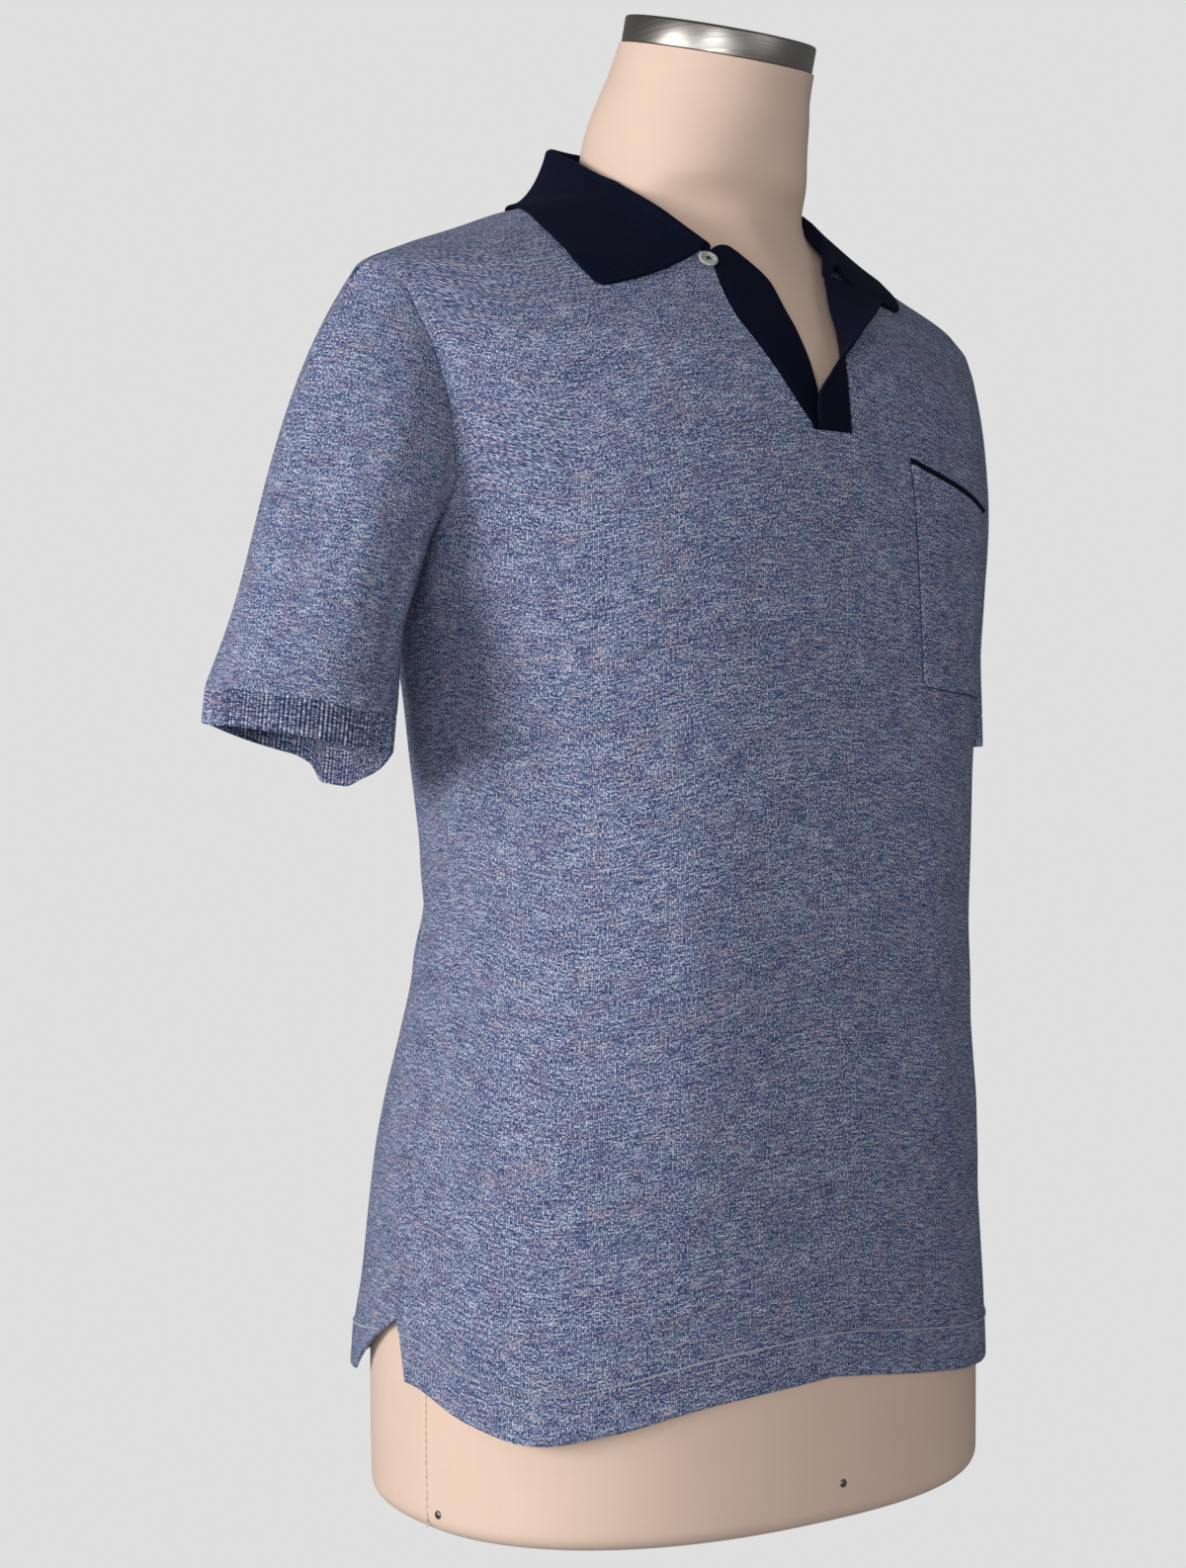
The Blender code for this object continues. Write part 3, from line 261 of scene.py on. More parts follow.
COLLAR_LEFT = [
    (0.0, 44.0, -74.0, 689.0, 103.0, -62.0, 671.0, 8.0),
    (0.2, 57.0, -52.0, 703.0, 110.0, -42.0, 680.0, 10.0),
    (0.4, 67.0, -19.0, 724.0, 116.0, -18.0, 697.0, 8.0),
] + COLLAR_RIGHT[3:]
COLLAR_END_GAP, FOLD_RADIUS = 0.9, 3.2

# Chest pocket on the wearer's left: x, top_z, bottom_z
POCKET = [
    (58.0, 574.0, 452.0),
    (84.0, 567.0, 450.0),
    (110.0, 561.0, 449.0),
    (142.0, 554.0, 447.0),
]
POCKET_LEAN = 6.0
PIPING_HEIGHT, PIPING_WALL = 3.0, 2.2

# Soft troughs and ridges of the body cloth; a negative depth is a trough
# start_angle, start_height, end_angle, end_height, half_width, depth
BODY_CREASES = [
    (-62.0, 545.0, -38.0, 480.0, 13.0, -2.2),
    (-70.0, 505.0, -40.0, 420.0, 12.0, 1.6),
    (-74.0, 470.0, -50.0, 360.0, 12.0, -1.8),
    (-30.0, 640.0, -52.0, 560.0, 14.0, -1.6),
    (-12.0, 420.0, -4.0, 120.0, 22.0, -1.8),
    (-30.0, 380.0, -26.0, 130.0, 20.0, 1.4),
    (22.0, 450.0, 18.0, 150.0, 22.0, 1.3),
    (36.0, 400.0, 40.0, 120.0, 18.0, -1.5),
    (62.0, 540.0, 40.0, 470.0, 13.0, -2.0),
    (72.0, 500.0, 52.0, 400.0, 12.0, 1.5),
    (96.0, 330.0, 128.0, 300.0, 10.0, -1.5),
    (-98.0, 350.0, -126.0, 322.0, 11.0, -1.6),
    (-100.0, 318.0, -132.0, 292.0, 10.0, 1.3),
    (110.0, 360.0, 140.0, 336.0, 11.0, 1.2),
    (150.0, 560.0, 128.0, 470.0, 15.0, -1.8),
    (-148.0, 560.0, -126.0, 480.0, 15.0, -1.7),
    (172.0, 320.0, 176.0, 130.0, 24.0, -2.0),
    (-160.0, 300.0, -158.0, 120.0, 20.0, 1.6),
    (146.0, 280.0, 150.0, 120.0, 18.0, 1.5),
    (160.0, 700.0, -165.0, 696.0, 9.0, -1.0),
]
# Soft troughs and ridges of the sleeves; a turn is measured from the underarm
# start_turn, start_share, end_turn, end_share, half_width, depth
SLEEVE_CREASES = [
    (205.0, 0.18, 212.0, 0.92, 9.0, -2.4),
    (176.0, 0.12, 172.0, 0.86, 10.0, 1.6),
    (150.0, 0.20, 140.0, 0.95, 9.0, -2.2),
    (118.0, 0.10, 108.0, 0.88, 8.0, 1.6),
    (82.0, 0.22, 74.0, 0.90, 8.0, -2.4),
    (240.0, 0.16, 246.0, 0.90, 9.0, 1.6),
    (276.0, 0.20, 282.0, 0.90, 9.0, -2.0),
    (40.0, 0.16, 64.0, 0.60, 7.0, 1.2),
    (318.0, 0.20, 300.0, 0.70, 8.0, 1.4),
]

# The dress form's own rings
# height, half_width, side_y, front_y, back_y, front_n, back_n
FORM_RINGS = [
    (0.0, 183.5, 8, -121, 155, 2.3, 2.3),
    (60.0, 184.5, 8, -120, 156, 2.3, 2.3),
    (120.0, 183, 8, -119, 157, 2.3, 2.3),
    (180.0, 175, 8, -117, 150, 2.3, 2.3),
    (240.0, 161, 7, -113, 132, 2.3, 2.2),
    (300.0, 150, 6, -111, 114, 2.3, 2.2),
    (360.0, 148, 5, -114, 106, 2.3, 2.2),
    (420.0, 155, 5, -119, 113, 2.3, 2.2),
    (480.0, 165, 5, -122, 121, 2.3, 2.2),
    (540.0, 172, 6, -121, 127, 2.3, 2.2),
    (590.0, 179, 6, -112, 122, 2.2, 2.2),
    (640.0, 190, 8, -96, 107, 1.9, 2.1),
    (673.0, 196, 12, -79, 90, 1.5, 1.9),
    (727.0, 72, 14, -55, 64, 2.3, 2.2),
    (733.0, 64.5, 11, -57, 61.5, 2.6, 2.3),
    (738.0, 63.0, 8, -59, 60, 2.6, 2.4),
    (750.0, 62.5, 5, -61, 63, 2.5, 2.4),
    (765.0, 62.5, -1, -64, 61, 2.2, 2.2),
    (780.0, 60.8, -7, -68.5, 51.5, 2.05, 2.05),
    (795.0, 57.5, -14, -71.5, 42.5, 2.0, 2.0),
    (810.6, 55.3, -21, -76.3, 34.3, 2.0, 2.0),
]
# height, tilt_degrees
FORM_TILT = [
    (727.0, 0.0),
    (750.0, 6.0),
    (780.0, 12.0),
    (810.6, 16.5),
]
# How much further in than its gap the form lies: all round, and away from the shoulder line
# height, all_round, off_shoulder_line
FORM_INSET = [
    (600.0, 1.0, 2.0),
    (676.0, 2.0, 3.0),
    (692.0, 0.0, 4.0),
    (712.0, 0.0, 4.5),
    (722.0, 1.0, 4.0),
    (727.0, 2.5, 3.0),
]


class Side(Enum):
    """The wearer's two sides; the value is the sign of x."""

    RIGHT = -1
    LEFT = 1

    @property
    def label(self) -> str:
        """Return the side's word, as node names use it."""
        return self.name.lower()

    @property
    def column(self) -> int:
        """Return the side's place in tables that hold the right side's value, then the left's."""
        return 0 if self is Side.RIGHT else 1


class Panel(Enum):
    """The two body panels."""

    FRONT = "front"
    BACK = "back"


# ---------------------------------------------------------------- curves and grids


def hermite(start: Any, end: Any, lead: Any, tail: Any, t: Any) -> np.ndarray:
    """Return points on the cubic between two points with the given end tangents."""
    return ((2 * t**3 - 3 * t**2 + 1) * start + (t**3 - 2 * t**2 + t) * lead
            + (3 * t**2 - 2 * t**3) * end + (t**3 - t**2) * tail)


def read(table: Sequence[Sequence[float]], key: Any) -> np.ndarray:
    """Read a table on a smooth curve through its rows.

    Args:
        table: rows whose first column is the key.
        key: where to read, as a number or an array.

    Returns:
        The other columns at each key, in a last axis.
    """
    rows = np.asarray(table, float)
    keys, columns = rows[:, 0], rows[:, 1:]
    slopes = np.diff(columns, axis=0) / np.diff(keys)[:, None]
    product = slopes[1:] * slopes[:-1]
    total = np.where(product > 0, slopes[1:] + slopes[:-1], 1.0)
    tangents = np.vstack([slopes[:1], np.where(product > 0, 2 * product / total, 0.0), slopes[-1:]])
    key = np.clip(np.asarray(key, float), keys[0], keys[-1])
    i = np.clip(np.searchsorted(keys, key, side="right") - 1, 0, len(keys) - 2)
    span = (keys[i + 1] - keys[i])[..., None]
    t = (key[..., None] - keys[i][..., None]) / span
    return hermite(columns[i], columns[i + 1], tangents[i] * span, tangents[i + 1] * span, t)


def ramp(value: Any, start: float, end: float) -> np.ndarray:
    """Return 0 at the start rising to 1 at the end, and flat beyond both."""
    return np.clip((value - start) / (end - start), 0, 1)


def unit(vectors: np.ndarray) -> np.ndarray:
    """Return vectors scaled to length one."""
    return vectors / np.maximum(np.linalg.norm(vectors, axis=-1, keepdims=True), 1e-9)


def spaced(count: int, tight_start: float = 0.0, tight_end: float = 0.0) -> np.ndarray:
    """Return shares from 0 to 1 that crowd together at either end.

    Args:
        count: how many steps there are.
        tight_start: 0 for even steps to nearly 1 for very small first steps.
        tight_end: the same for the last steps.

    Returns:
        count + 1 rising shares.
    """
    t = np.linspace(0, 1, count + 1)
    steps = 1 - tight_start * np.exp(-t * 9) - tight_end * np.exp(-(1 - t) * 9)
    share = np.concatenate([[0.0], np.cumsum((steps[1:] + steps[:-1]) / 2)])
    return share / share[-1]


def run_length(points: np.ndarray, axis: int) -> np.ndarray:
    """Return how far each point of a grid lies along its row (axis 1) or column (axis 0).

    Args:
        points: the grid.
        axis: the way to measure along.

    Returns:
        The distances.
    """
    steps = np.linalg.norm(np.diff(points, axis=axis), axis=-1)
    pad = [(0, 0), (0, 0)]
    pad[axis] = (1, 0)
    return np.cumsum(np.pad(steps, pad), axis=axis)


def grid_normals(points: np.ndarray, closed: bool = False) -> np.ndarray:
    """Return the normals of a grid whose columns run round the piece.

    Args:
        points: rows by columns of points; a closed grid repeats its first column at the end.
        closed: whether the rows are closed loops.

    Returns:
        One normal for each point.
    """
    if closed:
        loop = points[:, :-1]
        across = np.roll(loop, -1, axis=1) - np.roll(loop, 1, axis=1)
        across = np.concatenate([across, across[:, :1]], axis=1)
    else:
        across = np.gradient(points, axis=1)
    return unit(np.cross(across, np.gradient(points, axis=0)))


def ring_normals(points: np.ndarray) -> np.ndarray:
    """Return the outward normals of a closed ring piece.

    Args:
        points: the grid, a closed ring in each row.

    Returns:
        One normal for each point.
    """
    normals = grid_normals(points, closed=True)
    middle = points.mean(axis=1, keepdims=True)
    return normals * np.sign(np.einsum("ijk,ijk->", normals, points - middle))


def bump_along(a: np.ndarray, b: np.ndarray, rows: Iterable[Sequence[float]], scale: float) -> np.ndarray:
    """Return the height of soft creases at places (a, b) of a flat chart.

    Args:
        a: first chart coordinate, in the creases' own units.
        b: second chart coordinate, in millimetres or shares.
        rows: start_a, start_b, end_a, end_b, half_width, depth of each crease.
        scale: millimetres for one unit of a.

    Returns:
        The sum of the creases' heights in millimetres.
    """
    total = np.zeros(np.broadcast(a, b).shape)
    for start_a, start_b, end_a, end_b, half_width, depth in rows:
        for wrap in (-360.0, 0.0, 360.0):
            along = np.array([(end_a - start_a) * scale, end_b - start_b])
            length = np.hypot(*along)
            along = along / length
            x, y = (a + wrap - start_a) * scale, b - start_b
            share = np.clip((x * along[0] + y * along[1]) / length, -0.3, 1.3)
            off = x * -along[1] + y * along[0] + 3.0 * np.sin(share * 5.0)
            ends = np.exp(-((share - 0.5) / 0.42) ** 4)
            total += depth * np.exp(-((off / half_width) ** 2)) * ends
    return total


def quads_of(rows: int, columns: int) -> np.ndarray:
    """Return the four corner indices of each face of a grid.

    Args:
        rows: how many rows of points it has.
        columns: how many columns.

    Returns:
        One row for each face.
    """
    index = np.arange(rows * columns).reshape(rows, columns)
    corners = index[:-1, :-1], index[:-1, 1:], index[1:, 1:], index[1:, :-1]
    return np.stack([corner.ravel() for corner in corners], -1)


# ---------------------------------------------------------------- meshes


class Look(NamedTuple):
    """A finish's material and the record's slot that it belongs to."""

    material: bpy.types.Material
    slot: str


@dataclass
class Shell:
    """One grid of a cloth wall: its outer and inner points and its chart of the knitting."""

    outer: np.ndarray
    inner: np.ndarray
    chart: np.ndarray


def chart_of(points: np.ndarray, base: float = 0.0, centre: int = 0, turn: float = 1.0) -> np.ndarray:
    """Return a chart in millimetres: u along each row from a column, v up each column.

    Args:
        points: the grid's outer points.
        base: the first row's height on the chart.
        centre: the column where u is 0.
        turn: -1 where the columns run against u.
    """
    u = run_length(points, 1)
    return np.stack([(u - u[:, centre:centre + 1]) * turn, run_length(points, 0) + base], -1)


def link(name: str, mesh: bpy.types.Mesh, finish: bpy.types.Material | None) -> bpy.types.Object:
    """Put a mesh into the scene as a named object with its finish.

    Args:
        name: the piece's name.
        mesh: its mesh.
        finish: its material, if it gets one here.

    Returns:
        The new object.
    """
    if finish is not None:
        mesh.materials.clear()
        mesh.materials.append(finish)
    made = bpy.data.objects.new(name, mesh)
    bpy.context.collection.objects.link(made)
    return made


def add_mesh(name: str, points: np.ndarray, faces: Sequence[Sequence[int]], charts: np.ndarray | None,
             look: Look, stands_for: str = "", sharp: float = 50.0) -> bpy.types.Object:
    """Make one smooth object from points in millimetres, with its faces outwards.

    Args:
        name: the piece's name.
        points: the mesh's points.
        faces: corner indices of each face.
        charts: one (u, v) in millimetres for each face corner, or None.
        look: the piece's finish.
        stands_for: the CAD node that the piece replaces, if any.
        sharp: the angle in degrees past which an edge stays sharp.

    Returns:
        The new object.
    """
    mesh = bpy.data.meshes.new(name)
    mesh.from_pydata((points * MM).tolist(), [], faces)
    if charts is not None:
        layer = mesh.uv_layers.new(name="knit")
        layer.data.foreach_set("uv", (np.asarray(charts) * MM).ravel())
    mesh.calc_loop_triangles()
    corners = np.empty(len(mesh.loop_triangles) * 3, dtype=np.int32)
    mesh.loop_triangles.foreach_get("vertices", corners)
    a, b, c = points[corners.reshape(-1, 3)].transpose(1, 0, 2)
    if np.einsum("ij,ij->", a, np.cross(b, c)) < 0:
        mesh.flip_normals()
    mesh.shade_smooth()
    mesh.set_sharp_from_angle(angle=math.radians(sharp))
    made = link(name, mesh, look.material)
    if stands_for:
        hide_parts(stands_for)
    return made


def wall(name: str, shells: Sequence[Shell], look: Look, stands_for: str) -> bpy.types.Object:
    """Make a closed cloth wall from shells, welded where their outer points meet.

    Args:
        name: the piece's name.
        shells: the parts of the wall.
        look: the piece's finish.
        stands_for: the CAD node that the piece replaces.

    Returns:
        The new object.
    """
    outer, inner, chart = (np.concatenate([getattr(shell, part).reshape(-1, size) for shell in shells])
                           for part, size in (("outer", 3), ("inner", 3), ("chart", 2)))
    _, first, place = np.unique(np.round(outer, 3), axis=0, return_index=True, return_inverse=True)
    place = place.reshape(-1)
    starts = np.cumsum([0, *(shell.outer[..., 0].size for shell in shells)])
    raw = np.concatenate([quads_of(*shell.outer.shape[:2]) + start for shell, start in zip(shells, starts)])
    faces, charts = [], []
    for corners, ids in zip(raw.tolist(), place[raw].tolist()):
        keep = [k for k in range(4) if ids[k] != ids[k - 1]]
        if len(keep) > 2:
            faces.append([ids[k] for k in keep])
            charts.append([corners[k] for k in keep])
    edges = {}
    for ids, corners in zip(faces, charts):
        for k in range(len(ids)):
            edges[(ids[k - 1], ids[k])] = (corners[k - 1], corners[k])
    count = len(first)
    rim, rim_charts = [], []
    for (a, b), (ca, cb) in edges.items():
        if (b, a) not in edges:
            rim.append([b, a, a + count, b + count])
            rim_charts.append([cb, ca, ca, cb])
    back = [[count + i for i in reversed(ids)] for ids in faces]
    back_charts = [list(reversed(corners)) for corners in charts]
    loops = np.array([corner for corners in charts + back_charts + rim_charts for corner in corners])
    points = np.concatenate([outer[first], inner[first]])
    return add_mesh(name, points, faces + back + rim, chart[loops], look, stands_for)


def soft_edge(shell: Shell, normals: np.ndarray, borders: str, dip: float = 0.55,
              reach: float = 2.2) -> None:
    """Round a shell's outer borders down towards its inner side.

    Args:
        shell: the shell, changed in place.
        normals: its outward normals.
        borders: which to round: s first column, e last column, b first row, t last row.
        dip: how far the very edge sinks, in millimetres.
        reach: how far in from the edge the rounding goes.
    """
    across, up = run_length(shell.outer, 1), run_length(shell.outer, 0)
    distance = np.full(across.shape, 1e6)
    for letter in borders:
        away = {"s": across, "e": across[:, -1:] - across, "b": up, "t": up[-1:] - up}[letter]
        distance = np.minimum(distance, away)
    sink = dip * np.clip(1 - distance / reach, 0, 1) ** 2
    shell.outer = shell.outer - normals * sink[..., None]


# ---------------------------------------------------------------- finishes


def linear(colour: str) -> tuple[float, float, float, float]:
    """Return a Blender colour from an sRGB hex string."""
    parts = (int(colour[i:i + 2], 16) / 255 for i in (1, 3, 5))
    return (*(c / 12.92 if c <= 0.04045 else ((c + 0.055) / 1.055) ** 2.4 for c in parts), 1.0)


def node(tree: bpy.types.NodeTree, kind: str, *values: Any, out: int | str = 0, **named: Any) -> Any:
    """Add one node, set it up and link it.

    Args:
        tree: the tree that gets the node.
        kind: the node's type.
        values: for each of its inputs in use, in order, a socket to link or a value.
        out: the output to return, by name or by its place among those in use.
        named: its properties, in lower case, and more inputs by their names, which start with a capital.

    Returns:
        The output socket.
    """
    made = tree.nodes.new(kind)
    for key in (key for key in named if key[0].islower()):
        setattr(made, key, named[key])
    sockets = [socket for socket in made.inputs if socket.enabled]
    by_name = {socket.name.replace(" ", "_"): socket for socket in reversed(sockets)}
    pairs = [*zip(sockets, values), *((by_name[key], named[key]) for key in named if key[0].isupper())]
    for socket, value in pairs:
        if isinstance(value, bpy.types.NodeSocket):
            tree.links.new(value, socket)
        else:
            socket.default_value = value
    return made.outputs[out] if isinstance(out, str) else [s for s in made.outputs if s.enabled][out]


def start_material(name: str, roughness: float, **uniform: Any) -> tuple[Any, Any, Any]:
    """Make a material and set its shader's uniform sockets.

    Args:
        name: the material's name.
        roughness: the shader's roughness.
        uniform: more of the shader's sockets, with _ for each space.

    Returns:
        The material, its node tree and its Principled shader.
    """
    made = bpy.data.materials.new(name)
    made.use_nodes = True
    shader = made.node_tree.nodes["Principled BSDF"]
    for key, value in {"Roughness": roughness, **uniform}.items():
        shader.inputs[key.replace("_", " ")].default_value = value
    return made, made.node_tree, shader


def chart_cells(tree: bpy.types.NodeTree, u_mm: float, v_mm: float, shift: float = 0.0) -> Any:
    """Scale the piece's knitting chart.

    Args:
        tree: the material's tree.
        u_mm: how many millimetres along the courses make one cell.
        v_mm: how many up the wales.
        shift: moves the pattern, so that two of them don't line up.

    Returns:
        The socket of the scaled chart.
    """
    return node(tree, MAPPING, node(tree, "ShaderNodeUVMap", uv_map="knit"), (shift, shift * 0.7, 0),
                Scale=(1000 / u_mm, 1000 / v_mm, 1))


def lay_on(tree: bpy.types.NodeTree, shader: Any, colour: Any, height: Any, strength: float,
           depth_mm: float = 0.5) -> None:
    """Link a material's colour and bump to its shader.

    Args:
        tree: the material's tree.
        shader: its Principled shader.
        colour: the colour's socket.
        height: the bump's height socket.
        strength: the bump's strength.
        depth_mm: how deep the bump seems.
    """
    tree.links.new(colour, shader.inputs["Base Color"])
    tree.links.new(node(tree, BUMP, strength, depth_mm * MM, Height=height), shader.inputs["Normal"])


@dataclass(frozen=True)
class HeatherJersey:
    """Fine single jersey knitted from a mélange yarn of blue and undyed fibres.

    The eye sees a blue ground broken by pale, slightly pink flecks that line up along
    the courses, with uneven streaks and broad soft patches.
    """

    name: str
    # Pitch of upright ribs, 0 for plain knitting
    rib_mm: float = 0.0
    deep: str = "#1b274c"
    ground: str = "#505d87"
    cool: str = "#4c6585"
    pale: str = "#ccd0df"
    rosy: str = "#cfc0c9"
    slub: str = "#e0dfe4"
    # Painted shade: a dark colour laid into the troughs between the ribs
    rib_trough_shade: str = "#1a1f36"
    # A stitch is about 0.8 mm wide and 0.6 mm tall; it is drawn larger, or it would not show
    stitch_mm: tuple[float, float] = (1.25, 1.0)
    streak_mm: tuple[float, float] = (9.0, 1.6)
    patch_mm: tuple[float, float] = (34.0, 16.0)
    cool_mm: tuple[float, float] = (20.0, 9.0)
    rosy_mm: tuple[float, float] = (22.0, 11.0)
    slub_mm: tuple[float, float] = (3.4, 1.3)
    # Shares of wale, patch, streak and stitch in the fibres' mixture, and what centres it
    shares: tuple[float, ...] = (0.05, 0.08, 0.26, 0.74)
    centring: float = -0.065
    # Where the mixture turns from deep to ground, and from ground to pale
    turns: tuple[float, float, float] = (0.36, 0.49, 0.62)

    def build(self) -> bpy.types.Material:
        """Make the material.

        Returns:
            The material.
        """
        made, tree, shader = start_material(
            self.name, 0.92, Sheen_Weight=0.06, Sheen_Roughness=0.5, Sheen_Tint=linear("#c9cde0"),
            Specular_IOR_Level=0.12)
        fleck, yarn, patch, cool, rosy, slub = (
            node(tree, NOISE, chart_cells(tree, *cell, shift), Scale=1.0, Detail=detail, Roughness=roughness)
            for cell, shift, detail, roughness in (
                (self.stitch_mm, 0.0, 2.0, 0.75), (self.streak_mm, 3.1, 2.0, 0.6),
                (self.patch_mm, 7.7, 3.0, 0.6), (self.cool_mm, 23.7, 1.0, 0.6),
                (self.rosy_mm, 11.3, 1.0, 0.6), (self.slub_mm, 17.9, 1.0, 0.6)))
        wale = node(tree, WAVE, chart_cells(tree, self.stitch_mm[0], 400.0), ONE_BAND, out="Fac")
        mixture: Any = self.centring
        for share, part in zip(self.shares, (wale, patch, yarn, fleck)):
            mixture = node(tree, MATH, part, share, mixture, operation="MULTIPLY_ADD")
        low, middle, high = self.turns
        ground = node(tree, MIX, node(tree, RANGE, cool, 0.50, 0.62, 0.0, 0.55), linear(self.ground),
                      linear(self.cool), data_type="RGBA")
        fibre = node(tree, MIX, node(tree, RANGE, rosy, 0.50, 0.62), linear(self.pale), linear(self.rosy),
                     data_type="RGBA")
        colour: Any = linear(self.deep)
        layers = [((mixture, low, middle), ground), ((mixture, middle, high), fibre),
                  ((slub, 0.71, 0.79, 0.0, 0.75), linear(self.slub))]
        # Ribbed knitting gets painted shade in the troughs between its ribs
        if self.rib_mm:
            rib = node(tree, WAVE, chart_cells(tree, self.rib_mm, 4000.0), ONE_BAND, Phase_Offset=math.pi,
                       out="Fac")
            layers.append(((rib, 0.55, 0.05, 0.0, 0.72), linear(self.rib_trough_shade)))
        for spread, tone in layers:
            colour = node(tree, MIX, node(tree, RANGE, *spread), colour, tone, data_type="RGBA")
        lay_on(tree, shader, colour, node(tree, MATH, wale, 0.45, fleck, operation="MULTIPLY_ADD"), 0.5)
        return made


@dataclass(frozen=True)
class NavyKnit:
    """Tight navy rib knit: nearly black, with a faint line of lighter wales."""

    name: str
    ground: str = "#060919"
    raised: str = "#10162f"
    # Ribs are about 0.9 mm apart; drawn 1.4 mm apart so that they show
    rib_mm: float = 1.4
    grain_mm: tuple[float, float] = (1.7, 1.3)

    def build(self) -> bpy.types.Material:
        """Make the material.

        Returns:
            The material.
        """
        made, tree, shader = start_material(
            self.name, 0.9, Sheen_Weight=0.02, Sheen_Roughness=0.5, Sheen_Tint=linear("#8088b0"),
            Specular_IOR_Level=0.08)
        rib = node(tree, WAVE, chart_cells(tree, self.rib_mm, 300.0), ONE_BAND, out="Fac")
        grain = node(tree, NOISE, chart_cells(tree, *self.grain_mm), Scale=1.0, Detail=2.0)
        fuzz, height = (node(tree, MATH, rib, share, grain, operation="MULTIPLY_ADD")
                        for share in (0.2, 0.4))
        colour = node(tree, MIX, node(tree, RANGE, fuzz, 0.4, 0.95), linear(self.ground),
                      linear(self.raised), data_type="RGBA")
        lay_on(tree, shader, colour, height, 0.35)
        return made


@dataclass(frozen=True)
class LinenCover:
    """Undyed linen stretched over the form: warm beige, with a fine plain weave."""

    name: str
    ground: str = "#e5cbb9"
    shade: str = "#dcc0b0"
    # Threads are 0.7 mm apart; drawn 1.4 mm apart so that they show
    thread_mm: float = 1.4

    def build(self) -> bpy.types.Material:
        """Make the material.

        Returns:
            The material.
        """
        made, tree, shader = start_material(self.name, 0.8, Sheen_Weight=0.1, Specular_IOR_Level=0.3)
        place = node(tree, "ShaderNodeTexCoord", out="Object")
        threads = []
        for way in ((1, 1, 0.02), (0.02, 0.02, 1)):
            chart = node(tree, MAPPING, place, Scale=[1000 / self.thread_mm * part for part in way])
            threads.append(node(tree, NOISE, chart, Scale=0.5, Detail=1.0))
        weave = node(tree, MATH, node(tree, MATH, *threads, operation="ADD"), 0.5, operation="MULTIPLY")
        stain = node(tree, NOISE, place, Scale=9.0, Detail=4.0, Roughness=0.55)
        tone = node(tree, MATH, weave, 0.2, node(tree, MATH, stain, 0.9, operation="MULTIPLY"),
                    operation="MULTIPLY_ADD")
        colour = node(tree, MIX, node(tree, RANGE, tone, 0.35, 0.85), linear(self.ground),
                      linear(self.shade), data_type="RGBA")
        lay_on(tree, shader, colour, weave, 0.1, 0.3)
        return made


@dataclass(frozen=True)
class BrushedSteel:
    """Stainless steel band, brushed round its length, so highlights stretch up and down."""

    name: str
    colour: str = "#aaa7a2"
    scratched: str = "#757370"

    def build(self) -> bpy.types.Material:
        """Make the material.

        Returns:
            The material.
        """
        made, tree, shader = start_material(self.name, 0.32, Metallic=1.0, Anisotropic=0.6)
        place = node(tree, "ShaderNodeTexCoord", out="Object")
        scratch = node(tree, NOISE, node(tree, MAPPING, place, Scale=(14, 14, 1500)), Scale=1.0, Detail=4.0)
        colour = node(tree, MIX, scratch, linear(self.colour), linear(self.scratched), data_type="RGBA")
        tree.links.new(node(tree, RANGE, scratch, 0.3, 0.7, 0.22, 0.42), shader.inputs["Roughness"])
        lay_on(tree, shader, colour, scratch, 0.08, 0.2)
        return made


@dataclass(frozen=True)
class TrocasShell:
    """Trocas shell: polished grey with cloudy paler bands and a soft lustre."""

    name: str
    grey: str = "#868b88"
    pale: str = "#c6cac5"

    def build(self) -> bpy.types.Material:
        """Make the material.

        Returns:
            The material.
        """
        made, tree, shader = start_material(self.name, 0.22, Coat_Weight=0.4, Coat_Roughness=0.12)
        place = node(tree, "ShaderNodeTexCoord", out="Object")
        cloud = node(tree, NOISE, place, Scale=420.0, Detail=3.0, Distortion=1.2)
        colour = node(tree, MIX, node(tree, RANGE, cloud, 0.35, 0.65), linear(self.grey), linear(self.pale),
                      data_type="RGBA")
        tree.links.new(colour, shader.inputs["Base Color"])
        return made


@dataclass(frozen=True)
class PlainFinish:
    """A small piece's finish: one colour, faintly uneven."""

    name: str
    colour: str
    roughness: float = 0.9
    metallic: float = 0.0
    grain: float = 900.0
    uneven: float = 0.3

    def build(self) -> bpy.types.Material:
        """Make the material.

        Returns:
            The material.
        """
        made, tree, shader = start_material(self.name, self.roughness, Metallic=self.metallic)
        place = node(tree, "ShaderNodeTexCoord", out="Object")
        grain = node(tree, NOISE, place, Scale=self.grain, Detail=2.0)
        lit = linear(self.colour)
        dark = (*(part * (1 - self.uneven) for part in lit[:3]), 1.0)
        tree.links.new(node(tree, MIX, grain, lit, dark, data_type="RGBA"), shader.inputs["Base Color"])
        return made


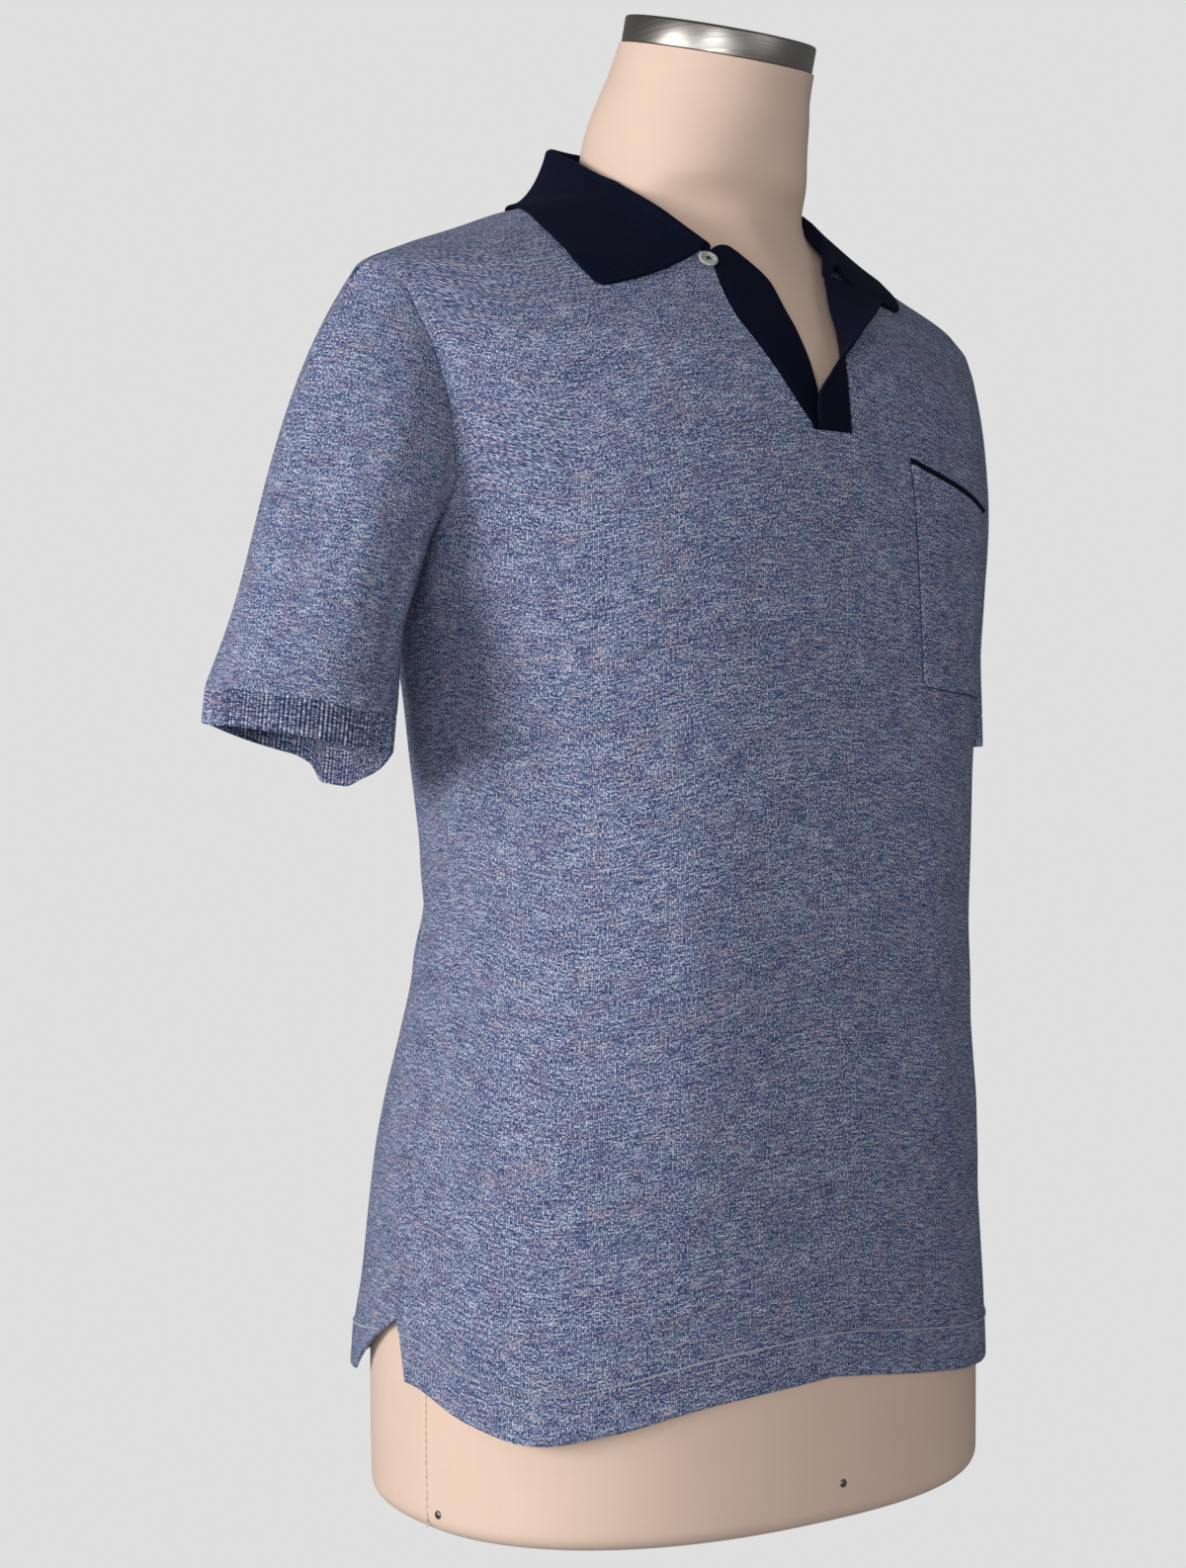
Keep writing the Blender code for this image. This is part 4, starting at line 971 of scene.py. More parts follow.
class Finishes:
    """Every finish of the part, made once."""

    def __init__(self) -> None:
        """Make the materials."""
        jersey, navy, linen, steel = "heather_jersey", "navy_knit", "linen_cover", "brushed_steel"
        self.jersey = Look(HeatherJersey("melange_jersey_knitted").build(), jersey)
        self.ribbing = Look(HeatherJersey("melange_rib_knitted", rib_mm=1.0).build(), jersey)
        self.navy = Look(NavyKnit("navy_rib_knitted").build(), navy)
        self.linen = Look(LinenCover("linen_cover_woven").build(), linen)
        self.steel = Look(BrushedSteel("stainless_steel_brushed").build(), steel)
        self.shell = Look(TrocasShell("trocas_shell_polished").build(), "shell")
        self.pale_yarn = Look(PlainFinish("pale_linking_yarn", "#b2b6cb", uneven=0.5).build(), jersey)
        self.seam_yarn = Look(PlainFinish("dark_seam_yarn", "#333b60", uneven=0.4).build(), jersey)
        # Painted shade: a darker linen colour for the thin ridge under the form's seam thread
        self.linen_fold = Look(PlainFinish("linen_folded_edge", "#c4a894", grain=400.0).build(), linen)
        self.linen_thread = Look(PlainFinish("linen_sewing_thread", "#ecdccb", 0.8).build(), linen)
        self.navy_thread = Look(PlainFinish("navy_sewing_thread", "#0b0d18", 0.8).build(), navy)
        self.tack = Look(PlainFinish("steel_tack", "#8b8680", 0.35, 1.0, 500.0, 0.15).build(), steel)


# ---------------------------------------------------------------- the shirt's surface


def ring_point(rings: Sequence[Sequence[float]], z: Any, angle: Any) -> np.ndarray:
    """Return the point of a table of rings at a height and an angle in radians.

    Args:
        rings: the table.
        z: heights in millimetres.
        angle: angles from the centre front, in radians.

    Returns:
        One point for each height and angle.
    """
    z, angle = np.broadcast_arrays(np.asarray(z, float), np.asarray(angle, float))
    half_width, side_y, front_y, back_y, front_n, back_n = np.moveaxis(read(rings, z), -1, 0)
    sine, cosine = np.sin(angle), np.cos(angle)
    n = np.where(cosine > 0, front_n, back_n)
    depth = np.where(cosine > 0, side_y - front_y, back_y - side_y)
    x = half_width * np.sign(sine) * np.abs(sine) ** (2 / n)
    y = side_y - depth * np.sign(cosine) * np.abs(cosine) ** (2 / n)
    return np.stack([x, y, z], -1)


def angle_at_x(z: Any, x: Any) -> np.ndarray:
    """Return the front angle where the shirt's ring at a height is x from the centre."""
    row = read(SHIRT_RINGS, z)
    return np.arcsin(np.clip(np.abs(x) / row[..., 0], 0, 1) ** (row[..., 4] / 2))


def angle_at_y(z: np.ndarray, y: np.ndarray) -> np.ndarray:
    """Return the angle from the centre front where the ring at a height has the given y.

    Args:
        z: heights in millimetres.
        y: how far back each point lies.

    Returns:
        The angles.
    """
    _, side_y, front_y, back_y, front_n, back_n = np.moveaxis(read(SHIRT_RINGS, z), -1, 0)
    front = y < side_y
    depth = np.where(front, side_y - front_y, back_y - side_y)
    cosine = np.clip(np.abs(y - side_y) / depth, 0, 1) ** (np.where(front, front_n, back_n) / 2)
    return np.where(front, np.arccos(cosine), math.pi - np.arccos(cosine))


def shirt_base(z: Any, angle: Any) -> np.ndarray:
    """Return the shirt's outer surface without its creases.

    Args:
        z: heights in millimetres.
        angle: angles from the centre front, in radians.

    Returns:
        One point for each height and angle.
    """
    z, angle = np.broadcast_arrays(np.asarray(z, float), np.asarray(angle, float))
    point = ring_point(SHIRT_RINGS, z, angle)
    row = read(HEM, np.degrees(np.abs(angle)))
    out = np.where(angle < 0, row[..., 2], row[..., 3])
    fade = np.clip(1 - (z - STAND_OFF_BASE) / STAND_OFF_HEIGHT, 0, 1) ** 2
    outward = unit(point[..., :2] - np.array([0.0, RING_CENTRE_Y]))
    point[..., :2] += outward * (out * fade)[..., None]
    return point


def shirt_normal(z: Any, angle: Any) -> np.ndarray:
    """Return the shirt's outward normal, from small steps in height and angle.

    Args:
        z: heights in millimetres.
        angle: angles from the centre front, in radians.

    Returns:
        One normal for each height and angle.
    """
    step_z, step_angle = 0.6, 0.01
    along = shirt_base(z, np.add(angle, step_angle)) - shirt_base(z, np.subtract(angle, step_angle))
    up = shirt_base(np.add(z, step_z), angle) - shirt_base(np.subtract(z, step_z), angle)
    return unit(np.cross(along, up))


def body_crease(z: Any, angle: Any) -> np.ndarray:
    """Return the creases' height on the body cloth, faded out at its seams and openings.

    Args:
        z: heights in millimetres.
        angle: angles from the centre front, in radians.

    Returns:
        How far the cloth stands out at each place, in millimetres.
    """
    z, angle = np.broadcast_arrays(np.asarray(z, float), np.asarray(angle, float))
    height = bump_along(np.degrees(angle), z, BODY_CREASES, CREASE_MM_PER_DEGREE)
    quiet_neck = ramp(z, 705.0, 665.0)
    quiet_hem = np.maximum(ramp(z, 75.0, 135.0), 0.15)
    return height * quiet_neck * quiet_hem


def shirt_point(z: Any, angle: Any) -> np.ndarray:
    """Return the shirt's outer surface with its creases."""
    return shirt_base(z, angle) + shirt_normal(z, angle) * body_crease(z, angle)[..., None]


def clear_of_shirt(points: np.ndarray, clearance: float) -> np.ndarray:
    """Move points outwards until they lie at least a clearance above the shirt.

    Args:
        points: the points to move.
        clearance: the least distance, in millimetres.

    Returns:
        The moved points.
    """
    for _ in range(4):
        z = points[..., 2]
        half_width, side_y, front_y, back_y, front_n, back_n = np.moveaxis(read(SHIRT_RINGS, z), -1, 0)
        front = points[..., 1] < side_y
        n = np.where(front, front_n, back_n)
        depth = np.where(front, side_y - front_y, back_y - side_y)
        across = (np.abs(points[..., 0]) / half_width) ** (n / 2)
        along = (np.abs(points[..., 1] - side_y) / depth) ** (n / 2)
        angle = np.arctan2(across, along)
        angle = np.where(front, angle, math.pi - angle) * np.sign(points[..., 0] + 1e-9)
        normals = shirt_normal(z, angle)
        gap = np.einsum("...i,...i->...", points - shirt_point(z, angle), normals)
        points = points + normals * np.maximum(clearance - gap, 0)[..., None]
    return points


# ---------------------------------------------------------------- body, hems and sleeves


@dataclass
class Armhole:
    """The armhole's line on the rings, by the share of its length from underarm to shoulder tip."""

    samples: int = 400

    def __post_init__(self) -> None:
        """Measure the line once."""
        self.heights = np.linspace(ARMHOLE[0][0], ARMHOLE[-1][0], self.samples)
        front_y = read(ARMHOLE, self.heights)[:, 0]
        path = ring_point(SHIRT_RINGS, self.heights, angle_at_y(self.heights, front_y))
        length = np.concatenate([[0.0], np.cumsum(np.linalg.norm(np.diff(path, axis=0), axis=1))])
        self.share = length / length[-1]

    def at(self, share: np.ndarray) -> tuple[np.ndarray, np.ndarray, np.ndarray]:
        """Return the height and the front and back angles at each share of the length.

        Args:
            share: shares of the armhole's length, from the underarm to the shoulder's tip.

        Returns:
            Heights, front angles and back angles.
        """
        heights = np.interp(share, self.share, self.heights)
        front_y, back_y = read(ARMHOLE, heights).T
        front, back = angle_at_y(heights, front_y), angle_at_y(heights, back_y)
        ends = (share <= 0) | (share >= 1)
        return heights, np.where(ends, math.pi / 2, front), np.where(ends, math.pi / 2, back)


@dataclass
class Sleeve:
    """One sleeve with its ribbed cuff. Lengths are in millimetres, turns in degrees."""

    side: Side
    armhole: Armhole
    centre: tuple[float, float, float]
    slope: float
    lean: float
    half_across: float
    half_along: float
    turn: float
    bow_top: float
    bow_end: float
    half_columns: int = 120
    rows: int = 84
    ribs: int = 148
    rib_height: float = 0.8
    crease_scale: float = 0.95
    half_girth: float = 205.0
    cuff_rows: int = 14
    points_per_rib: int = 6
    # How deep the ribs are on the cuff's inner side
    inner_rib_height: float = 0.3

    def loop(self) -> tuple[np.ndarray, np.ndarray]:
        """Return the armhole as a loop of heights and angles: underarm, front, tip, back.

        Returns:
            Heights and angles.
        """
        share = np.linspace(0, 1, self.half_columns + 1)
        z, front, back = self.armhole.at(share)
        angle = self.side.value * np.concatenate([front, back[-2::-1]])
        return np.concatenate([z, z[-2::-1]]), angle

    def turns(self) -> np.ndarray:
        """Return each loop point's turn round the sleeve: 0 underarm, pi at the top.

        Returns:
            One turn for each loop point.
        """
        loop = shirt_base(*self.loop())
        steps = np.linalg.norm(np.diff(loop, axis=0), axis=1)
        half = self.half_columns
        front = np.concatenate([[0.0], np.cumsum(steps[:half])]) / steps[:half].sum() * math.pi
        back = math.pi + np.cumsum(steps[half:]) / steps[half:].sum() * math.pi
        return np.concatenate([front, back])

    def directions(self) -> tuple[np.ndarray, np.ndarray, np.ndarray]:
        """Return the way down the arm, the way out and the yaw matrix.

        Returns:
            Two directions and a matrix.
        """
        side, slope, lean = self.side.value, math.radians(self.slope), math.radians(self.lean)
        yaw = -side * math.radians(self.turn)
        axis = np.array([side * math.sin(lean), 0.0, -math.cos(lean)])
        outward = np.array([side * math.cos(slope), 0.0, math.sin(slope)])
        swing = np.array([[math.cos(yaw), -math.sin(yaw), 0], [math.sin(yaw), math.cos(yaw), 0], [0, 0, 1]])
        return axis, outward, swing

    def ring(self, turn: np.ndarray, along: float) -> np.ndarray:
        """Return the cuff's ring of points, `along` millimetres up from its open edge.

        Args:
            turn: where on the ring, in radians.
            along: how far up from the edge.

        Returns:
            One point for each turn.
        """
        axis, outward, swing = self.directions()
        x, y, z = self.centre
        centre = np.array([self.side.value * x, y, z])
        rise = along + (read(CUFF_RISE, np.degrees(turn))[:, 0] if self.side is Side.RIGHT else 0.0)
        forward = swing @ np.array([0.0, -1.0, 0.0])
        return (centre - axis * np.reshape(rise, (-1, 1)) + np.sin(turn)[:, None] * self.half_along * forward
                - np.cos(turn)[:, None] * self.half_across * (swing @ outward))

    def grid(self, share: np.ndarray, creased: bool = True) -> np.ndarray:
        """Return the sleeve's outer points at shares of the way from armhole to cuff.

        Args:
            share: 0 at the armhole, 1 at the cuff.
            creased: whether the creases are laid in.

        Returns:
            Rows of points, armhole first.
        """
        z, angle = self.loop()
        loop, turn = shirt_base(z, angle), self.turns()
        end = self.ring(turn, CUFF_BAND + SEAM_GAP / 2)
        axis, outward, _ = self.directions()
        chord = end - loop
        length = np.linalg.norm(chord, axis=1, keepdims=True)
        radial = unit(-np.cos(turn)[:, None] * outward + np.sin(turn)[:, None] * np.array([0.0, -1.0, 0.0]))
        top = (1 - np.cos(turn))[:, None] / 2
        column = self.side.column
        bow = read(SLEEVE_BOW, np.degrees(turn))
        lead = chord + radial * self.bow_top * bow[:, [column]]
        lead = lead + shirt_normal(z, angle) * bow[:, [column + 2]]
        tail = 0.5 * chord + 0.5 * length * axis + radial * self.bow_end * top
        points = hermite(loop[None], end[None], lead[None], tail[None], share[:, None, None])
        if creased:
            rows = [(a, b * SLEEVE_LENGTH, c, d * SLEEVE_LENGTH, w, h)
                    for a, b, c, d, w, h in SLEEVE_CREASES]
            height = bump_along(np.degrees(turn)[None], share[:, None] * SLEEVE_LENGTH, rows,
                                self.crease_scale)
            calm = np.clip(share / 0.12, 0, 1)[:, None] * np.clip((1 - share) / 0.1, 0, 1)[:, None]
            off_underarm = ramp(1 - np.cos(turn), 0.0, 0.6)[None]
            points = points + ring_normals(points) * (height * calm * off_underarm)[..., None]
        return points

    def mitre(self) -> np.ndarray:
        """Return the seam's shared direction at each loop point, with its mitre stretch.

        Returns:
            One direction for each loop point.
        """
        z, angle = self.loop()
        body = shirt_normal(z, angle)
        sleeve = ring_normals(self.grid(np.array([0.0, 0.02, 0.04]), creased=False))[0]
        shared = unit(body + sleeve)
        return shared / np.maximum(np.einsum("ij,ij->i", shared, body), LEAST_MITRE)[:, None]

    def build(self, finishes: Finishes) -> list[bpy.types.Object]:
        """Return the sleeve and its cuff.

        Args:
            finishes: the part's finishes.

        Returns:
            Both objects.
        """
        share = spaced(self.rows, 0.9, 0.9)
        outer = self.grid(share)
        normals = ring_normals(outer)
        down = unit(outer[1] - outer[0])
        normals[0] = self.mitre()
        normals[1] = unit(normals[1] + normals[0])
        outer[0] = outer[0] + down * SEAM_GAP
        chart = np.stack([np.broadcast_to((self.turns() / math.pi - 1) * self.half_girth, outer.shape[:2]),
                          run_length(outer, 0)[-1:] - run_length(outer, 0)], -1)
        shell = Shell(outer, outer - normals * JERSEY_WALL, chart)
        soft_edge(shell, normals, "b", 0.2, 2.5)
        soft_edge(shell, normals, "t", 0.45, 2.0)
        label = self.side.label
        sleeve = wall(f"sleeve_cloth_{label}", [shell], finishes.jersey, f"sleeve_{label}")
        return [sleeve, self.build_cuff(finishes)]

    def build_cuff(self, finishes: Finishes) -> bpy.types.Object:
        """Return the cuff band: upright ribs outside and inside, with a rounded open edge.

        Args:
            finishes: the part's finishes.

        Returns:
            The cuff.
        """
        columns = self.ribs * self.points_per_rib
        coarse = self.turns()
        place = np.linspace(0, 1, columns + 1)
        ring = self.ring(coarse, 0.0)
        length = run_length(ring[None], 1)[0]
        turn = np.interp(place, length / length[-1], coarse)
        heights = CUFF_BAND * spaced(self.cuff_rows, 0.85, 0.7)
        outer = np.array([self.ring(turn, along) for along in heights])
        normals = ring_normals(outer)
        wave = np.cos(place * self.ribs * 2 * math.pi)
        ease = np.maximum(ramp(heights, CUFF_BAND, CUFF_BAND - 2.0), 0.25)[:, None]
        outer_trough, inner_trough = (deep * (1 - wave)[None] / 2 * ease
                                      for deep in (self.rib_height, self.inner_rib_height))
        inner = outer - normals * (CUFF_WALL - inner_trough)[..., None]
        outer = outer - normals * outer_trough[..., None]
        # One unit of the chart's u is one rib, so that the ribbing's painted shade falls into its troughs
        chart = np.stack([np.broadcast_to(place * self.ribs, outer.shape[:2]), run_length(outer, 0)], -1)
        shell = Shell(outer, inner, chart)
        soft_edge(shell, normals, "b", 0.5, 1.2)
        soft_edge(shell, normals, "t", 0.35, 1.0)
        label = self.side.label
        return wall(f"cuff_ribbing_{label}", [shell], finishes.ribbing, f"cuff_{label}")


@dataclass
class BodyPanels:
    """Front, back and their hem bands."""

    sleeves: dict[Side, Sleeve]
    armhole: Armhole
    columns: int = 62
    low_rows: int = 92
    chest_rows: int = 18
    opening_rows: int = 30
    neck_rows: int = 26
    hem_rows: int = 14
    # Columns of each half of the strip below the opening
    strip_columns: int = 6
    seam_dip: float = 0.3
    seam_lift: float = 0.35
    back_radius: float = 165.0
    slope_start: float = 655.0

    def shares(self) -> tuple[np.ndarray, np.ndarray]:
        """Return the climbs below the underarm and the armhole shares above it.

        Returns:
            Both rows of shares, each upwards.
        """
        low = spaced(self.low_rows, 0.9, 0.0)
        chest = np.linspace(0, OPENING_START, self.chest_rows + 1)
        opening = np.linspace(OPENING_START, NECK_START, self.opening_rows + 1)[1:]
        neck = (NECK_START + (1 - NECK_START) * spaced(self.neck_rows, 0.0, 0.9))[1:]
        return low, np.concatenate([chest, opening, neck])

    def side_line(self, panel: Panel, z: np.ndarray) -> np.ndarray:
        """Return the angle of a panel's side edge at a height, in radians."""
        return np.radians(read(SIDE_LINE, z)[..., 0 if panel is Panel.FRONT else 1])

    def hem_height(self, angle: np.ndarray, side: Side) -> np.ndarray:
        """Return the hem edge's height at an angle on one side."""
        return read(HEM, np.degrees(np.abs(angle)))[..., side.column]

    def inner_edge(self, panel: Panel, side: Side, share: np.ndarray) -> tuple[np.ndarray, np.ndarray]:
        """Return heights and angles of the panel's edge at the centre, opening and neck.

        Args:
            panel: the front or the back.
            side: the wearer's right or left.
            share: shares of the armhole's length.

        Returns:
            Heights and angles.
        """
        if panel is Panel.FRONT:
            z = np.interp(share, [0, OPENING_START, NECK_START, 1],
                          [UNDERARM_Z, OPENING_BASE_Z, OPENING_TOP_Z, NECK_POINT_Z])
            x = read(FRONT_EDGE, z)[:, side.column]
            angle = angle_at_x(z, x)
            return z, np.where(share >= 1, math.pi / 2, angle)
        turn = np.interp(share, [NECK_START, 1], [180.0, 90.0])
        rise = np.interp(share, [0, NECK_START], [UNDERARM_Z, BACK_NECK_Z])
        z = np.where(share <= NECK_START, rise, read(BACK_NECKLINE, turn)[:, 0])
        return z, np.radians(turn)

    def half(self, panel: Panel, side: Side) -> tuple[np.ndarray, np.ndarray]:
        """Return one half panel's heights and angles, hem seam to shoulder seam.

        Args:
            panel: the front or the back.
            side: the wearer's right or left.

        Returns:
            Two grids, of heights and of angles.
        """
        low, share = self.shares()
        heights, front, back = self.armhole.at(share)
        fraction = spaced(self.columns, 0.6, 0.9)
        inner_z, inner_angle = self.inner_edge(panel, side, share)
        outer_angle = front if panel is Panel.FRONT else back
        upper_z = inner_z[:, None] + (heights - inner_z)[:, None] * fraction
        upper_angle = inner_angle[:, None] + (outer_angle - inner_angle)[:, None] * fraction
        if panel is Panel.FRONT:
            low_inner = angle_at_x(FRONT_BASE_Z + (UNDERARM_Z - FRONT_BASE_Z) * low, OPENING_HALF_WIDTH)
        else:
            low_inner = np.full(len(low), math.pi)
        side_angle = np.full(len(low), math.pi / 2)
        for _ in range(3):
            lower_angle = low_inner[:, None] + (side_angle - low_inner)[:, None] * fraction
            seam_z = self.hem_height(lower_angle, side) + HEM_BAND
            lower_z = seam_z + (UNDERARM_Z - seam_z) * low[:, None]
            side_angle = self.side_line(panel, lower_z[:, -1])
        z = np.concatenate([lower_z, upper_z[1:]])
        angle = np.concatenate([lower_angle, upper_angle[1:]])
        return z, side.value * angle

    def mitre_rows(self, panel: Panel, side: Side, share: np.ndarray) -> np.ndarray:
        """Return the armhole seam's shared direction at the panel's armhole rows.

        Args:
            panel: the front or the back.
            side: the wearer's right or left.
            share: shares of the armhole's length.

        Returns:
            One direction for each row.
        """
        sleeve = self.sleeves[side]
        rows, half = sleeve.mitre(), sleeve.half_columns
        rows = rows[:half + 1] if panel is Panel.FRONT else rows[:half - 1:-1]
        known = np.linspace(0, 1, half + 1)
        return np.stack([np.interp(share, known, rows[:, k]) for k in range(3)], -1)

    def half_shell(self, panel: Panel, side: Side) -> Shell:
        """Return one half panel's shell.

        Args:
            panel: the front or the back.
            side: the wearer's right or left.

        Returns:
            The shell, centre to side.
        """
        z, angle = self.half(panel, side)
        outer, normals = shirt_point(z, angle), shirt_normal(z, angle)
        _, share = self.shares()
        normals[self.low_rows:, -1] = self.mitre_rows(panel, side, share)
        inner = outer - normals * JERSEY_WALL
        shift = np.zeros_like(outer)
        shift[:, -1] += unit(outer[:, -2] - outer[:, -1]) * SEAM_GAP / 2
        shift[-1] += unit(outer[-2] - outer[-1]) * SEAM_GAP / 2
        shift[0] += unit(outer[1] - outer[0]) * SEAM_GAP / 2
        chart = chart_of(outer, HEM_BAND, 0, side.value)
        if panel is Panel.BACK:
            # Straight courses: the shoulder's slope takes up more knitting than its height
            slope = 0.2 + 1.1 * np.sin(angle) ** 2
            chart = np.stack([side.value * (np.abs(angle) - math.pi) * self.back_radius,
                              z + np.maximum(z - self.slope_start, 0) * slope], -1)
        shell = Shell(outer + shift, inner + shift, chart)
        soft_edge(shell, normals, "ebt", self.seam_dip)
        return shell

    @staticmethod
    def mirrored(shell: Shell) -> Shell:
        """Return a right-hand shell with its columns turned round, to keep one winding."""
        return Shell(shell.outer[:, ::-1], shell.inner[:, ::-1], shell.chart[:, ::-1])

    def build_front(self, finishes: Finishes) -> bpy.types.Object:
        """Return the front: two halves and the strip below the opening.

        Args:
            finishes: the part's finishes.

        Returns:
            The front.
        """
        right, left = (self.half_shell(Panel.FRONT, side) for side in Side)
        count = self.low_rows + self.chest_rows + 1
        across = np.linspace(0, 1, 2 * self.strip_columns + 1)
        strip = []
        for name in ("outer", "inner"):
            a, b = (getattr(shell, name)[:count, 0] for shell in (right, left))
            line = a[:, None] + (b - a)[:, None] * across[:, None]
            line[..., 1] -= STRIP_BOW * across * (1 - across)
            strip.append(line)
        strip[0][:, 0], strip[0][:, -1] = right.outer[:count, 0], left.outer[:count, 0]
        seam_angle = angle_at_x(FRONT_BASE_Z, np.abs(strip[0][0, :, 0]))
        seam_z = self.hem_height(seam_angle, Side.LEFT) + HEM_BAND
        strip[0][0, 1:-1, 2] = np.maximum(strip[0][0, 1:-1, 2], seam_z[1:-1] + SEAM_GAP / 2)
        chart = np.repeat(right.chart[:count, :1], len(across), axis=1)
        chart[..., 0] = (across - 0.5) * 2 * OPENING_HALF_WIDTH
        for shell, sign in ((right, -1), (left, 1)):
            shell.chart[..., 0] += sign * OPENING_HALF_WIDTH
        shells = [self.mirrored(right), Shell(strip[0], strip[1], chart), left]
        return wall("front_cloth", shells, finishes.jersey, "front")

    def build_back(self, finishes: Finishes) -> bpy.types.Object:
        """Return the back panel.

        Args:
            finishes: the part's finishes.

        Returns:
            The back.
        """
        right, left = (self.half_shell(Panel.BACK, side) for side in Side)
        count = self.low_rows + self.chest_rows + self.opening_rows + 1
        for name in ("outer", "inner"):
            a, b = getattr(right, name), getattr(left, name)
            middle = (a[:count, 0] + b[:count, 0]) / 2
            middle[:, 0] = 0.0
            a[:count, 0] = b[:count, 0] = middle
        return wall("back_cloth", [self.mirrored(right), left], finishes.jersey, "back")

    def hem_half(self, panel: Panel, side: Side) -> Shell:
        """Return half a hem band's shell, centre to side and edge to seam.

        Args:
            panel: the front or the back.
            side: the wearer's right or left.

        Returns:
            The shell.
        """
        z, angle = (values[0] for values in self.half(panel, side))
        if panel is Panel.FRONT:
            extra = np.linspace(0, 1, self.strip_columns + 1)[:-1]
            angle = np.concatenate([angle[0] * extra, angle])
            z = np.concatenate([self.hem_height(angle[:self.strip_columns], side) + HEM_BAND, z])
        fraction = (angle - angle[0]) / (angle[-1] - angle[0])
        rise = (HEM_BAND - SEAM_GAP) * spaced(self.hem_rows, 0.85, 0.85)[:, None]
        edge_z = z - HEM_BAND + rise
        swing = side.value * self.side_line(panel, edge_z[:, -1]) - angle[-1]
        angle = angle + swing[:, None] * fraction
        edge_z = self.hem_height(angle, side) + rise
        normals = shirt_normal(edge_z, angle)
        middle = shirt_point(edge_z, angle) - normals * JERSEY_WALL / 2
        outer, inner = middle + normals * HEM_WALL / 2, middle - normals * HEM_WALL / 2
        shift = unit(outer[:, -2] - outer[:, -1]) * SEAM_GAP / 2
        outer[:, -1] += shift
        inner[:, -1] += shift
        shell = Shell(outer, inner, chart_of(outer, 0.0, 0, side.value))
        soft_edge(shell, normals, "eb", 0.8, 1.8)
        soft_edge(shell, normals, "t", 0.7, 1.6)
        return shell

    def build_hem(self, panel: Panel, finishes: Finishes) -> bpy.types.Object:
        """Return the doubled band below the front or the back.

        Args:
            panel: the front or the back.
            finishes: the part's finishes.

        Returns:
            The band.
        """
        right, left = (self.hem_half(panel, side) for side in Side)
        for name in ("outer", "inner"):
            a, b = getattr(right, name), getattr(left, name)
            a[:, 0] = b[:, 0] = (a[:, 0] + b[:, 0]) / 2
        return wall(f"hem_band_{panel.value}", [self.mirrored(right), left], finishes.jersey,
                    f"hem_{panel.value}")

    def seam_line(self, panel: Panel) -> np.ndarray:
        """Return the hem seam's line on the outside, from the right side to the left.

        Args:
            panel: the front or the back.

        Returns:
            The line's points.
        """
        halves = []
        for side in Side:
            z, angle = (values[0, 1:-2] for values in self.half(panel, side))
            halves.append(shirt_point(z, angle) + shirt_normal(z, angle) * self.seam_lift)
        return np.concatenate([halves[0][::-1], halves[1]])


# ---------------------------------------------------------------- neck: collar, placket, button


